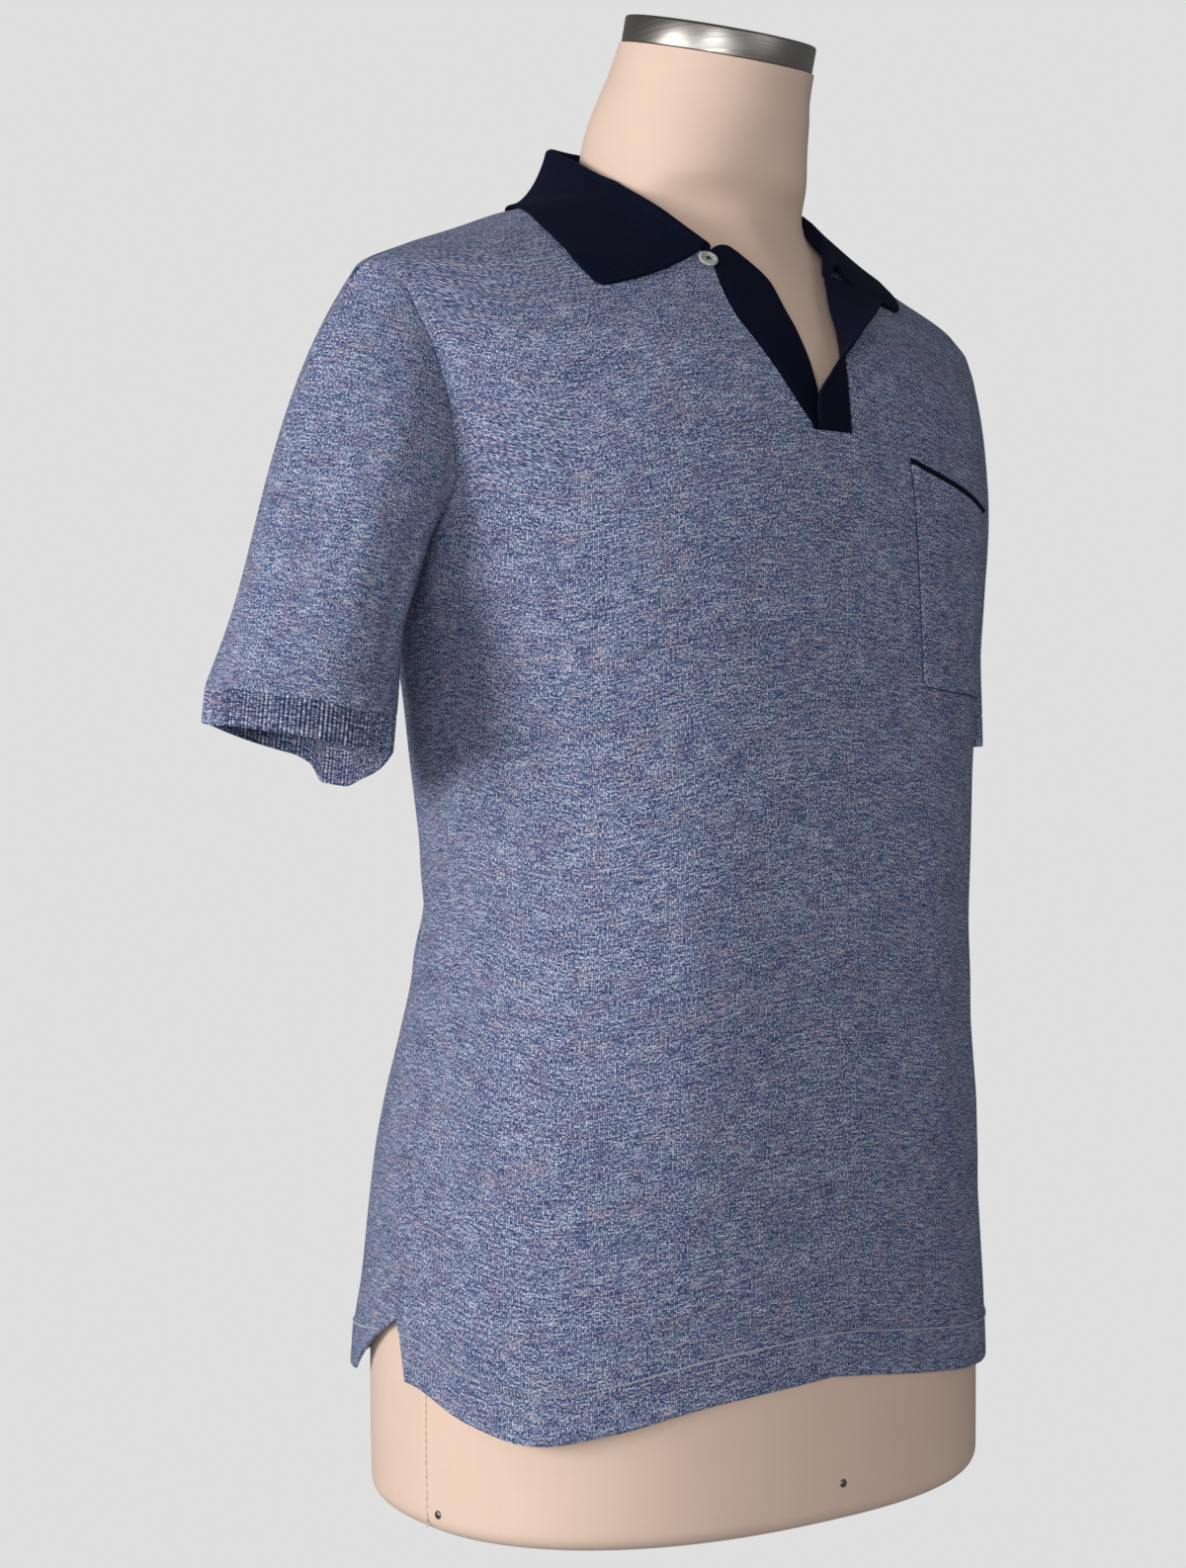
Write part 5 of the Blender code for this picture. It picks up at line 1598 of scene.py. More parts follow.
@dataclass
class Neck:
    """Collar and placket strips."""

    panels: BodyPanels
    stations: int = 64
    stand_points: int = 9
    fold_points: int = 9
    leaf_points: int = 26
    strip_rows: int = 44
    strip_columns: int = 16
    tip_round: float = 4.5
    strip_top_rise: float = 7.5
    rise_start: float = 655.0
    # The fold's ridge on the right strip: its share of the width, half width as a share, and height
    ridge_place: float = 0.22
    ridge_width: float = 0.12
    ridge_height: float = 0.5

    def seam(self, side: Side, station: np.ndarray) -> tuple[np.ndarray, np.ndarray, np.ndarray]:
        """Return the neckline's points, normals and ways out of the cloth at stations 0 to 1.

        Args:
            side: the wearer's right or left.
            station: where on the half neckline, 0 at its front end.

        Returns:
            Points, normals and ways out.
        """
        front = ramp(station, 0.0, 0.5)
        z = OPENING_TOP_Z + (NECK_POINT_Z - OPENING_TOP_Z) * front
        x = read(FRONT_EDGE, z)[:, side.column]
        angle = np.where(front >= 1, math.pi / 2, angle_at_x(z, x))
        turn = 90.0 + ramp(station, 0.5, 1.0) * 90.0
        behind = station > 0.5
        z = np.where(behind, read(BACK_NECKLINE, turn)[:, 0], z)
        angle = side.value * np.where(behind, np.radians(turn), angle)
        points, normals = shirt_base(z, angle), shirt_normal(z, angle)
        away = np.cross(np.gradient(points, axis=0), normals)
        inwards = np.array([0.0, RING_CENTRE_Y, 60.0]) - points * np.array([1.0, 1.0, 0.0])
        away *= np.sign(np.einsum("ij,ij->i", away, inwards))[:, None]
        return points, normals, unit(away)

    def collar_half(self, side: Side) -> tuple[np.ndarray, np.ndarray]:
        """Return one half collar's middle points and chart, front end to centre back.

        Args:
            side: the wearer's right or left.

        Returns:
            Points and chart.
        """
        station = spaced(self.stations, 0.9, 0.0)
        seam, normals, away = self.seam(side, station)
        row = read(COLLAR_RIGHT if side is Side.RIGHT else COLLAR_LEFT, station)
        mirror = np.array([side.value, 1, 1])
        fold, edge, sag = row[:, :3] * mirror, row[:, 3:6] * mirror, row[:, 6:7]
        outward = unit((edge - seam) * np.array([1, 1, 0]))
        down = np.array([0.0, 0.0, -FOLD_RADIUS])
        stand_top = fold - outward * FOLD_RADIUS + down
        leaf_top = fold + outward * FOLD_RADIUS + down
        rise = unit(stand_top - seam)
        over = -np.einsum("ij,ij->i", rise, away)[:, None]
        upright = np.sqrt(np.clip(1 - over**2, 0, 1))
        leaning = (1 + JERSEY_WALL / TRIM_WALL * over) / np.maximum(upright, 0.5)
        reach = np.where(over > 0, leaning, upright)
        foot = seam - normals * JERSEY_WALL / 2 + away * (3 * SEAM_GAP + reach * TRIM_WALL / 2)
        columns = [foot + (stand_top - foot) * t for t in np.linspace(0, 1, self.stand_points)]
        for turn in np.linspace(0, 180, self.fold_points + 2)[1:-1]:
            c, s = math.cos(math.radians(turn)), math.sin(math.radians(turn))
            columns.append(fold + down - outward * FOLD_RADIUS * c - down * s)
        control = (leaf_top + edge) / 2 - np.array([0, 0, 1]) * sag - outward * np.maximum(sag, 0) * 0.4
        for t in spaced(self.leaf_points - 1, 0.0, 0.8):
            columns.append((1 - t) ** 2 * leaf_top + 2 * t * (1 - t) * control + t**2 * edge)
        points = np.stack(columns, axis=0)
        leaf = slice(self.stand_points + 2, None)
        points[leaf] = clear_of_shirt(points[leaf], TRIM_WALL / 2 + LAY_GAP)
        self.round_tip(points, leaf)
        along = np.cumsum(np.concatenate([[0.0], np.linalg.norm(np.diff(edge, axis=0), axis=1)]))
        chart = np.stack([np.broadcast_to(along * side.value, points.shape[:2]), run_length(points, 0)], -1)
        return points, chart

    def round_tip(self, points: np.ndarray, leaf: slice) -> None:
        """Round the leaf's front corner by pulling its last rows back near the front end.

        Args:
            points: the half collar, changed in place.
            leaf: the rows of the leaf.
        """
        front = run_length(points[-1:], 1)[0]
        rows = points[leaf]
        total = run_length(rows, 0)
        for k in np.flatnonzero(front < self.tip_round):
            short = self.tip_round**2 - (self.tip_round - front[k]) ** 2
            inset = self.tip_round - math.sqrt(max(short, 0.0))
            length = total[-1, k]
            target = total[:, k] * (1 - inset / max(length, 1.0))
            rows[:, k] = np.stack([np.interp(target, total[:, k], rows[:, k, a]) for a in range(3)], -1)
        points[leaf] = rows

    def build_collar(self, finishes: Finishes) -> bpy.types.Object:
        """Return the collar: stand, rolled fold and leaf in one piece.

        Args:
            finishes: the part's finishes.

        Returns:
            The collar.
        """
        (right, right_chart), (left, left_chart) = (self.collar_half(side) for side in Side)
        right_chart[..., 0] -= right_chart[:, -1:, 0]
        left_chart[..., 0] -= left_chart[:, -1:, 0]
        middle = np.concatenate([right, left[:, -2::-1]], axis=1)
        chart = np.concatenate([right_chart, left_chart[:, -2::-1]], axis=1)
        for end, inside in ((0, 1), (-1, -2)):
            middle[:, end] += unit(middle[:, inside * 3] - middle[:, end]) * COLLAR_END_GAP * 0.5
        normals = grid_normals(middle)
        outer, inner = middle + normals * TRIM_WALL / 2, middle - normals * TRIM_WALL / 2
        shell = Shell(outer, inner, chart)
        soft_edge(shell, normals, "set", 0.7, 1.4)
        under = Shell(shell.inner, shell.outer, chart)
        soft_edge(under, -normals, "set", 0.6, 1.3)
        return wall("collar_knit", [Shell(shell.outer, under.outer, chart)], finishes.navy, "collar")

    def opening_edge(self, side: Side) -> tuple[np.ndarray, np.ndarray, np.ndarray]:
        """Return the opening's edge points, normals and ways into the opening.

        Args:
            side: the wearer's right or left.

        Returns:
            Points, normals and ways in.
        """
        z = np.linspace(OPENING_BASE_Z, OPENING_TOP_Z, self.strip_rows + 1)
        x = read(FRONT_EDGE, z)[:, side.column]
        angle = side.value * angle_at_x(z, x)
        points, normals = shirt_point(z, angle), shirt_normal(z, angle)
        away = np.cross(np.gradient(points, axis=0), normals)
        away *= np.sign(away[:, :1] * -side.value)
        return points, normals, unit(away)

    def build_right_strip(self, finishes: Finishes) -> bpy.types.Object:
        """Return the placket strip on the wearer's right.

        Args:
            finishes: the part's finishes.

        Returns:
            The strip.
        """
        edge, _, away = self.opening_edge(Side.RIGHT)
        row = read(RIGHT_STRIP, edge[:, 2])
        fraction = spaced(self.strip_columns, 0.7, 0.7)
        start = edge + away * SEAM_GAP
        x = start[:, :1] + (row[:, :1] - start[:, :1]) * fraction
        z = start[:, 2:] + (row[:, 1:2] - start[:, 2:]) * fraction
        z[0] += SEAM_GAP
        top = ramp(edge[:, 2:], self.rise_start, OPENING_TOP_Z) ** 2
        z = z + self.strip_top_rise * top * np.clip(np.sin(math.pi * fraction), 0, 1) ** 0.4
        angle = -angle_at_x(z, x)
        angle = np.where(x > 0, -angle, angle)
        ridge = self.ridge_height * np.exp(-(((fraction - self.ridge_place) / self.ridge_width) ** 2))
        normals = shirt_normal(z, angle)
        outer = shirt_point(z, angle) - normals * (row[:, 2:3] * fraction - ridge)[..., None]
        shell = Shell(outer, outer - normals * TRIM_WALL, chart_of(outer))
        soft_edge(shell, normals, "sebt", 0.6, 1.6)
        return wall("placket_strip_right", [shell], finishes.navy, "placket_right")

    def build_left_strip(self, finishes: Finishes) -> bpy.types.Object:
        """Return the placket strip on the wearer's left, which turns out like a lapel.

        Args:
            finishes: the part's finishes.

        Returns:
            The strip.
        """
        edge, normals, away = self.opening_edge(Side.LEFT)
        row = read(LEFT_STRIP, edge[:, 2])
        free, curl = row[:, :3].copy(), row[:, 3:4]
        start = edge + away * SEAM_GAP
        start[0, 2] += SEAM_GAP
        free[0, 2] += SEAM_GAP
        lead = away * np.maximum(curl, 1.0) + (free - start) * 0.6
        tail = (free - start) * 1.1
        t = spaced(self.strip_columns, 0.7, 0.7)[:, None, None]
        outer = np.moveaxis(hermite(start[None], free[None], lead[None], tail[None], t), 0, 1)
        face = grid_normals(outer)
        face *= np.sign(np.einsum("ij,kj->", face[0], normals[:1]))
        face[:, 0] = normals
        shell = Shell(outer, outer - face * TRIM_WALL, chart_of(outer))
        soft_edge(shell, face, "sebt", 0.6, 1.6)
        return wall("placket_strip_left", [shell], finishes.navy, "placket_left")


def turned(name: str, profile: Sequence[tuple[float, float]], sides: int, origin: np.ndarray,
           axis: np.ndarray, across: np.ndarray, look: Look, stands_for: str = "") -> bpy.types.Object:
    """Make a solid of revolution.

    Args:
        name: the piece's name.
        profile: (radius, height) rows from the bottom centre to the top centre.
        sides: how many points lie round it.
        origin: the profile's zero, in millimetres.
        axis: the direction of the heights.
        across: a direction square to the axis.
        look: the piece's finish.
        stands_for: the CAD node that the piece replaces, if any.

    Returns:
        The new object.
    """
    along = np.cross(axis, across)
    points, rings = [], []
    turns = np.arange(sides) / sides * 2 * math.pi
    for radius, height in profile:
        rings.append(list(range(len(points), len(points) + (1 if radius == 0 else sides))))
        if radius == 0:
            points.append(origin + axis * height)
        else:
            points += [origin + axis * height + radius * (across * math.cos(t) + along * math.sin(t))
                       for t in turns]
    faces = []
    for low, high in zip(rings, rings[1:]):
        for i in range(sides):
            j = (i + 1) % sides
            corners = (low[i % len(low)], low[j % len(low)], high[j % len(high)], high[i % len(high)])
            faces.append(tuple(dict.fromkeys(corners)))
    return add_mesh(name, np.array(points), faces, None, look, stands_for)


@dataclass
class Button:
    """Four-hole shell button with its thread."""

    x: float = -45.5
    z: float = 681.5
    stands: float = 0.7
    sides: int = 56
    thread_radius: float = 0.42
    hole_ring: float = 1.15
    # Height of the thread at the holes, and how much higher its middle lies
    thread_base: float = 1.35
    thread_rise: float = 0.75
    # radius, height
    profile: tuple[tuple[float, float], ...] = (
        (0.0, 0.0), (4.3, 0.0), (5.0, 0.25), (5.45, 0.7), (5.65, 1.2), (5.6, 1.7), (5.35, 2.05),
        (4.95, 2.25), (4.45, 2.3), (4.0, 2.15), (3.6, 1.85), (3.1, 1.6), (2.4, 1.5), (0.0, 1.48))

    def build(self, finishes: Finishes) -> list[bpy.types.Object]:
        """Return the button and its thread.

        Args:
            finishes: the part's finishes.

        Returns:
            Both objects.
        """
        angle = -angle_at_x(self.z, self.x)
        normal = shirt_normal(self.z, angle)
        origin = shirt_base(self.z, angle) + normal * self.stands
        across = unit(np.cross(np.array([0.0, 0.0, 1.0]), normal))
        up = np.cross(normal, across)
        button = turned("shell_button", self.profile, self.sides, origin, normal, across, finishes.shell,
                        "button")
        paths = []
        for a, b in (((1, 1), (-1, -1)), ((1, -1), (-1, 1))):
            ends = [origin + (across * p[0] + up * p[1]) * self.hole_ring for p in (a, b)]
            line = [ends[0] + (ends[1] - ends[0]) * t
                    + normal * (self.thread_base + self.thread_rise * math.sin(math.pi * t))
                    for t in np.linspace(0, 1, 9)]
            paths.append(np.array(line))
        return [button, tubes("button_thread", paths, self.thread_radius, 8, finishes.navy_thread)]


def tubes(name: str, paths: Sequence[np.ndarray], radius: float, sides: int,
          look: Look) -> bpy.types.Object:
    """Make closed round tubes along paths in millimetres, joined in one mesh.

    Args:
        name: the piece's name.
        paths: their middle lines.
        radius: their radius, in millimetres.
        sides: how many sides each has.
        look: the piece's finish.

    Returns:
        The new object.
    """
    points, faces = [], []
    for path in paths:
        tangents = unit(np.gradient(path, axis=0))
        side = unit(np.cross(tangents, np.array([0.31, 0.87, 0.38])))
        lift = np.cross(tangents, side)
        base = len(points)
        for p, a, b in zip(path, side, lift):
            points += [p + radius * (a * math.cos(t) + b * math.sin(t))
                       for t in np.arange(sides) / sides * 2 * math.pi]
        for row in range(len(path) - 1):
            for i in range(sides):
                j, low, high = (i + 1) % sides, base + row * sides, base + (row + 1) * sides
                faces.append((low + i, low + j, high + j, high + i))
        faces.append(tuple(base + i for i in reversed(range(sides))))
        faces.append(tuple(base + (len(path) - 1) * sides + i for i in range(sides)))
    return add_mesh(name, np.array(points), faces, None, look)


# ---------------------------------------------------------------- pocket


@dataclass
class Pocket:
    """Patch pocket on the wearer's left with its piped mouth."""

    rows: int = 52
    columns: int = 48
    edge_dip: float = 1.15
    edge_reach: float = 2.6
    lay_gap: float = 0.3
    seam_off: float = 0.5
    seam_radius: float = 0.27
    # How far the mouth stands open, from which share of the height, and over how much of it
    gape: float = 1.3
    gape_start: float = 0.55
    gape_span: float = 0.45

    def build(self, finishes: Finishes) -> list[bpy.types.Object]:
        """Return the pocket and its piping.

        Args:
            finishes: the part's finishes.

        Returns:
            The pocket, its piping and its seam.
        """
        middle_z = (POCKET[0][1] + POCKET[0][2]) / 2
        ends = angle_at_x(middle_z, np.array([POCKET[0][0], POCKET[-1][0]]))
        share = spaced(self.columns, 0.8, 0.8)
        x = ring_point(SHIRT_RINGS, middle_z, ends[0] + (ends[1] - ends[0]) * share)[:, 0]
        top, bottom = read(POCKET, x).T
        climb = spaced(self.rows, 0.8, 0.6)[:, None]
        z = bottom + (top - bottom) * climb
        x = x + POCKET_LEAN * (1 - climb)
        angle = angle_at_x(z, x)
        normals = shirt_normal(z, angle)
        opening = np.clip((climb - self.gape_start) / self.gape_span, 0, 1)
        gape = self.gape * np.sin(math.pi * share) ** 2 * opening ** 2
        inner = shirt_point(z, angle) + normals * (self.lay_gap + gape)[..., None]
        shell = Shell(inner + normals * POCKET_WALL, inner, chart_of(inner, bottom.mean()))
        shell.chart[..., 0] += x[0, 0]
        soft_edge(shell, normals, "seb", self.edge_dip, self.edge_reach)
        pocket = wall("pocket_patch", [shell], finishes.jersey, "pocket")
        seam = self.build_seam(shell, normals, finishes)
        rise = spaced(10, 0.6, 0.6)[:, None] * PIPING_HEIGHT
        z = top + SEAM_GAP + rise
        angle = angle_at_x(z, x[-1])
        normals = shirt_normal(z, angle)
        inner = shirt_point(z, angle) + normals * (LAY_GAP + gape[-1])[..., None]
        bulge = PIPING_WALL * np.sqrt(np.clip(1 - ((rise / PIPING_HEIGHT - 0.5) * 1.8) ** 2, 0.15, 1))
        shell = Shell(inner + normals * bulge[..., None], inner, chart_of(inner))
        soft_edge(shell, normals, "se", 0.7, 1.5)
        return [pocket, wall("pocket_piping_cord", [shell], finishes.navy, "pocket_piping"), seam]

    def build_seam(self, shell: Shell, normals: np.ndarray, finishes: Finishes) -> bpy.types.Object:
        """Return the thin dark seam round the pocket's sides and bottom edge.

        Args:
            shell: the pocket's shell.
            normals: its outward normals.
            finishes: the part's finishes.

        Returns:
            The seam's thread.
        """
        border = np.arange(self.rows, 0, -1)
        inner, columns = shell.inner, shell.inner.shape[1]
        out_left = unit(inner[:, 0] - inner[:, 3])
        out_right = unit(inner[:, -1] - inner[:, -4])
        out_down = unit(inner[0] - inner[3])
        lift = 0.3 + self.seam_radius - self.lay_gap
        left = (inner[:, 0] + out_left * self.seam_off + normals[:, 0] * lift)[border]
        down = (inner[0] + out_down * self.seam_off + normals[0] * lift)[2:columns - 2]
        right = (inner[:, -1] + out_right * self.seam_off + normals[:, -1] * lift)[border][::-1]
        path = np.concatenate([left[:-2], down, right[2:]])
        return tubes("pocket_seam_thread", [path], self.seam_radius, 8, finishes.seam_yarn)


# ---------------------------------------------------------------- dress form


@dataclass
class DressForm:
    """Linen-covered torso with its steel neck cap, side seam and two tacks."""

    sides: int = 220
    smoothing: int = 60
    foot_radius: float = 10.0
    carry_start: float = 600.0
    carry_span: float = 35.0
    carry_side_rise: float = 40.0
    carry_end: float = 727.0
    cap_radius: float = 55.0
    cap_height: float = 15.0
    cap_sides: int = 160
    seam_angle: float = -86.0
    # angle from the centre front in degrees, height
    tacks: tuple[tuple[float, float], ...] = ((-82.5, 11.5), (1.5, 21.5))
    tack_radius: float = 2.3
    tack_sides: int = 20
    fold_radius: float = 0.35

    def point(self, z: Any, angle: Any) -> np.ndarray:
        """Return the form's surface, carried close inside the shirt at the shoulders.

        Args:
            z: heights in millimetres.
            angle: angles from the centre front, in radians.

        Returns:
            One point for each height and angle.
        """
        z, angle = np.broadcast_arrays(np.asarray(z, float), np.asarray(angle, float))
        own = ring_point(FORM_RINGS, z, angle)
        tilt = np.tan(np.radians(read(FORM_TILT, z)[..., 0]))
        centre_y = sum(ring_point(FORM_RINGS, z, turn)[..., 1] for turn in (0.0, math.pi)) / 2
        own[..., 2] += tilt * (own[..., 1] - centre_y)
        all_round, off_line = np.moveaxis(read(FORM_INSET, z), -1, 0)
        inset = JERSEY_WALL + FORM_GAP + all_round + off_line * (1 - np.abs(np.sin(angle)) ** 8)
        carried = shirt_base(z, angle) - shirt_normal(z, angle) * inset[..., None]
        start = self.carry_start + self.carry_side_rise * np.sin(angle) ** 4
        weight = np.clip((z - start) / self.carry_span, 0, 1)
        leave = ramp(z, self.carry_end + 3.0, self.carry_end)
        weight = (weight * weight * (3 - 2 * weight) * leave)[..., None]
        return own + (carried - own) * weight

    def build(self, finishes: Finishes) -> list[bpy.types.Object]:
        """Return the torso, the cap, a thin ridge along the seam coloured darker as painted shade, and the
        tacks.

        Args:
            finishes: the part's finishes.

        Returns:
            The objects.
        """
        angle = np.linspace(0, 2 * math.pi, self.sides + 1)[:-1] - math.pi
        rings = []
        for t in np.radians(np.linspace(0, 90, 9)):
            ring = self.point(self.foot_radius * (1 - math.cos(t)), angle)
            inset = self.foot_radius * (1 - math.sin(t))
            ring[:, :2] -= unit(ring[:, :2] - np.array([0.0, RING_CENTRE_Y])) * inset
            rings.append(ring)
        top = FORM_RINGS[-1][0] - SEAM_GAP
        dense = np.concatenate([np.linspace(self.foot_radius, 600, 90)[1:], np.linspace(600, 735, 80)[1:],
                                np.linspace(735, top, 40)[1:]])
        rings += [self.point(z, angle) for z in dense]
        rings = self.smoothed(np.array(rings), angle)
        index = np.arange(rings[..., 0].size).reshape(rings.shape[:2])
        ahead = np.roll(index, -1, axis=1)
        faces = np.stack([index[:-1], ahead[:-1], ahead[1:], index[1:]], -1).reshape(-1, 4).tolist()
        faces += [index[0, ::-1].tolist(), index[-1].tolist()]
        torso = add_mesh("form_linen_torso", rings.reshape(-1, 3), faces, None, finishes.linen, "form_torso")
        cap = self.build_cap(finishes)
        # A thin ridge along the seam, coloured darker as painted shade under the thread
        fold = tubes("form_seam_fold", [self.seam_path()], self.fold_radius, 8, finishes.linen_fold)
        return [torso, cap, fold, *self.build_tacks(finishes)]

    def smoothed(self, rings: np.ndarray, angle: np.ndarray) -> np.ndarray:
        """Return the rings with the cover drawn tight over the neck's root and the chest.

        Args:
            rings: the torso's rings, bottom first.
            angle: the angle of each column.

        Returns:
            The changed rings.
        """
        z = rings[..., 2].mean(axis=1)[:, None]
        chest_to_neck = ramp(z, 625.0, 665.0) * ramp(z, 785.0, 765.0)
        front, neck = ramp(np.abs(angle), 1.25, 0.75)[None], ramp(z, 722.0, 736.0)
        weight = 0.5 * chest_to_neck * np.maximum(front, neck)
        weight[0] = weight[-1] = 0
        for _ in range(self.smoothing):
            near = (np.roll(rings, 1, axis=1) + np.roll(rings, -1, axis=1)) / 4
            near[1:-1] += (rings[:-2] + rings[2:]) / 4
            near[0], near[-1] = rings[0], rings[-1]
            rings = rings + (near - rings) * weight[..., None]
        return rings

    def build_cap(self, finishes: Finishes) -> bpy.types.Object:
        """Return the steel band with its flat top.

        Args:
            finishes: the part's finishes.

        Returns:
            The cap.
        """
        last, tilt = FORM_RINGS[-1], math.radians(FORM_TILT[-1][1])
        axis = np.array([0.0, -math.sin(tilt), math.cos(tilt)])
        origin = np.array([0.0, (last[3] + last[4]) / 2, last[0]])
        r, h = self.cap_radius, self.cap_height
        profile = [(0.0, 0.0), (r - 0.6, 0.0), (r, 0.5), (r, h - 1.6), (r - 0.3, h - 0.7),
                   (r - 0.9, h - 0.2), (r - 1.7, h), (r - 3.6, h), (r - 4.2, h - 0.5), (0.0, h - 0.5)]
        return turned("steel_neck_cap", profile, self.cap_sides, origin, axis, np.array([1.0, 0.0, 0.0]),
                      finishes.steel, "neck_cap")

    def build_tacks(self, finishes: Finishes) -> list[bpy.types.Object]:
        """Return the two round tacks near the form's lower edge.

        Args:
            finishes: the part's finishes.

        Returns:
            Both tacks.
        """
        made = []
        for number, (degrees, height) in enumerate(self.tacks, 1):
            angle = math.radians(degrees)
            here = self.point(height, angle)
            along, up = self.point(height, angle + 0.01) - here, self.point(height + 1, angle) - here
            out = unit(np.cross(along, up))
            across = unit(np.cross(np.array([0.0, 0.0, 1.0]), out))
            r = self.tack_radius
            profile = [(0.0, -1.0), (0.6, -1.0), (0.6, 0.05), (r, 0.1), (r * 0.92, 0.6),
                       (r * 0.6, 0.95), (0.0, 1.1)]
            made.append(turned(f"form_tack_{number}", profile, self.tack_sides, here, out, across,
                               finishes.tack))
        return made

    def seam_path(self) -> np.ndarray:
        """Return the side seam's line on the form, bottom to the shirt's hem and beyond."""
        heights = np.linspace(4, 120, 40)
        return self.point(heights, math.radians(self.seam_angle))


# ---------------------------------------------------------------- stitches by Geometry Nodes


@dataclass
class StitchRun:
    """A run of small stitches along a line, made by a Geometry Nodes tree. Sizes are in millimetres."""

    name: str
    path: np.ndarray
    pitch: float
    length: float
    radius: float
    look: Look
    slant: float = 0.0
    jitter: float = 0.0
    seed: int = 7

    def inputs(self) -> dict[str, float]:
        """Return the tree's named inputs, in metres and radians."""
        return {"Pitch": self.pitch * MM, "Length": self.length * MM, "Radius": self.radius * MM,
                "Slant": self.slant, "Jitter": self.jitter}

    def tree(self) -> bpy.types.NodeTree:
        """Make the tree: resample the line, set a rounded bar on each point, realize.

        Returns:
            The node tree.
        """
        made = bpy.data.node_groups.new(f"{self.name}_stitches", "GeometryNodeTree")
        face = made.interface
        face.new_socket("Geometry", in_out="INPUT", socket_type="NodeSocketGeometry")
        for label in self.inputs():
            face.new_socket(label, in_out="INPUT", socket_type="NodeSocketFloat")
        face.new_socket("Geometry", in_out="OUTPUT", socket_type="NodeSocketGeometry")
        start = made.nodes.new("NodeGroupInput").outputs
        line = node(made, "GeometryNodeMeshToCurve", Mesh=start["Geometry"])
        even = node(made, "GeometryNodeResampleCurve", mode="LENGTH", Curve=line, Length=start["Pitch"])
        half = node(made, MATH, start["Length"], 0.5, operation="MULTIPLY")
        size = node(made, "ShaderNodeCombineXYZ", start["Radius"], start["Radius"], half)
        ball = node(made, "GeometryNodeMeshIcoSphere", Radius=1.0, Subdivisions=2)
        bar = node(made, "GeometryNodeTransform", Geometry=ball, Scale=size)
        aligned = node(made, "FunctionNodeAlignEulerToVector", axis="Z",
                       Vector=node(made, "GeometryNodeInputTangent"))
        wobble = node(made, "FunctionNodeRandomValue", data_type="FLOAT", Seed=self.seed)
        spread = node(made, MATH, node(made, MATH, wobble, 0.5, operation="SUBTRACT"), start["Jitter"],
                      operation="MULTIPLY")
        lean = node(made, MATH, start["Slant"], spread, operation="ADD")
        turn = node(made, "FunctionNodeRotateEuler", rotation_type="EULER", space="LOCAL", Rotation=aligned,
                    Rotate_By=node(made, "ShaderNodeCombineXYZ", lean, 0.0, 0.0))
        laid = node(made, "GeometryNodeInstanceOnPoints", Points=even, Instance=bar, Rotation=turn)
        real = node(made, "GeometryNodeRealizeInstances", Geometry=laid)
        dressed = node(made, "GeometryNodeSetMaterial", Geometry=real, Material=self.look.material)
        made.links.new(dressed, made.nodes.new("NodeGroupOutput").inputs[0])
        return made

    def build(self) -> bpy.types.Object:
        """Make the stitches as one plain mesh.

        Returns:
            The new object.
        """
        line = bpy.data.meshes.new(f"{self.name}_line")
        line.from_pydata((self.path * MM).tolist(), [(i, i + 1) for i in range(len(self.path) - 1)], [])
        holder = link(f"{self.name}_holder", line, None)
        modifier = holder.modifiers.new("stitches", "NODES")
        tree, values = self.tree(), self.inputs()
        modifier.node_group = tree
        for item in tree.interface.items_tree:
            if item.in_out == "INPUT" and item.name in values:
                modifier[item.identifier] = values[item.name]
        graph = bpy.context.evaluated_depsgraph_get()
        mesh = bpy.data.meshes.new_from_object(holder.evaluated_get(graph), depsgraph=graph)
        mesh.name = self.name
        bpy.data.objects.remove(holder, do_unlink=True)
        mesh.shade_smooth()
        made = link(self.name, mesh, self.look.material)
        return made


# ---------------------------------------------------------------- the studio


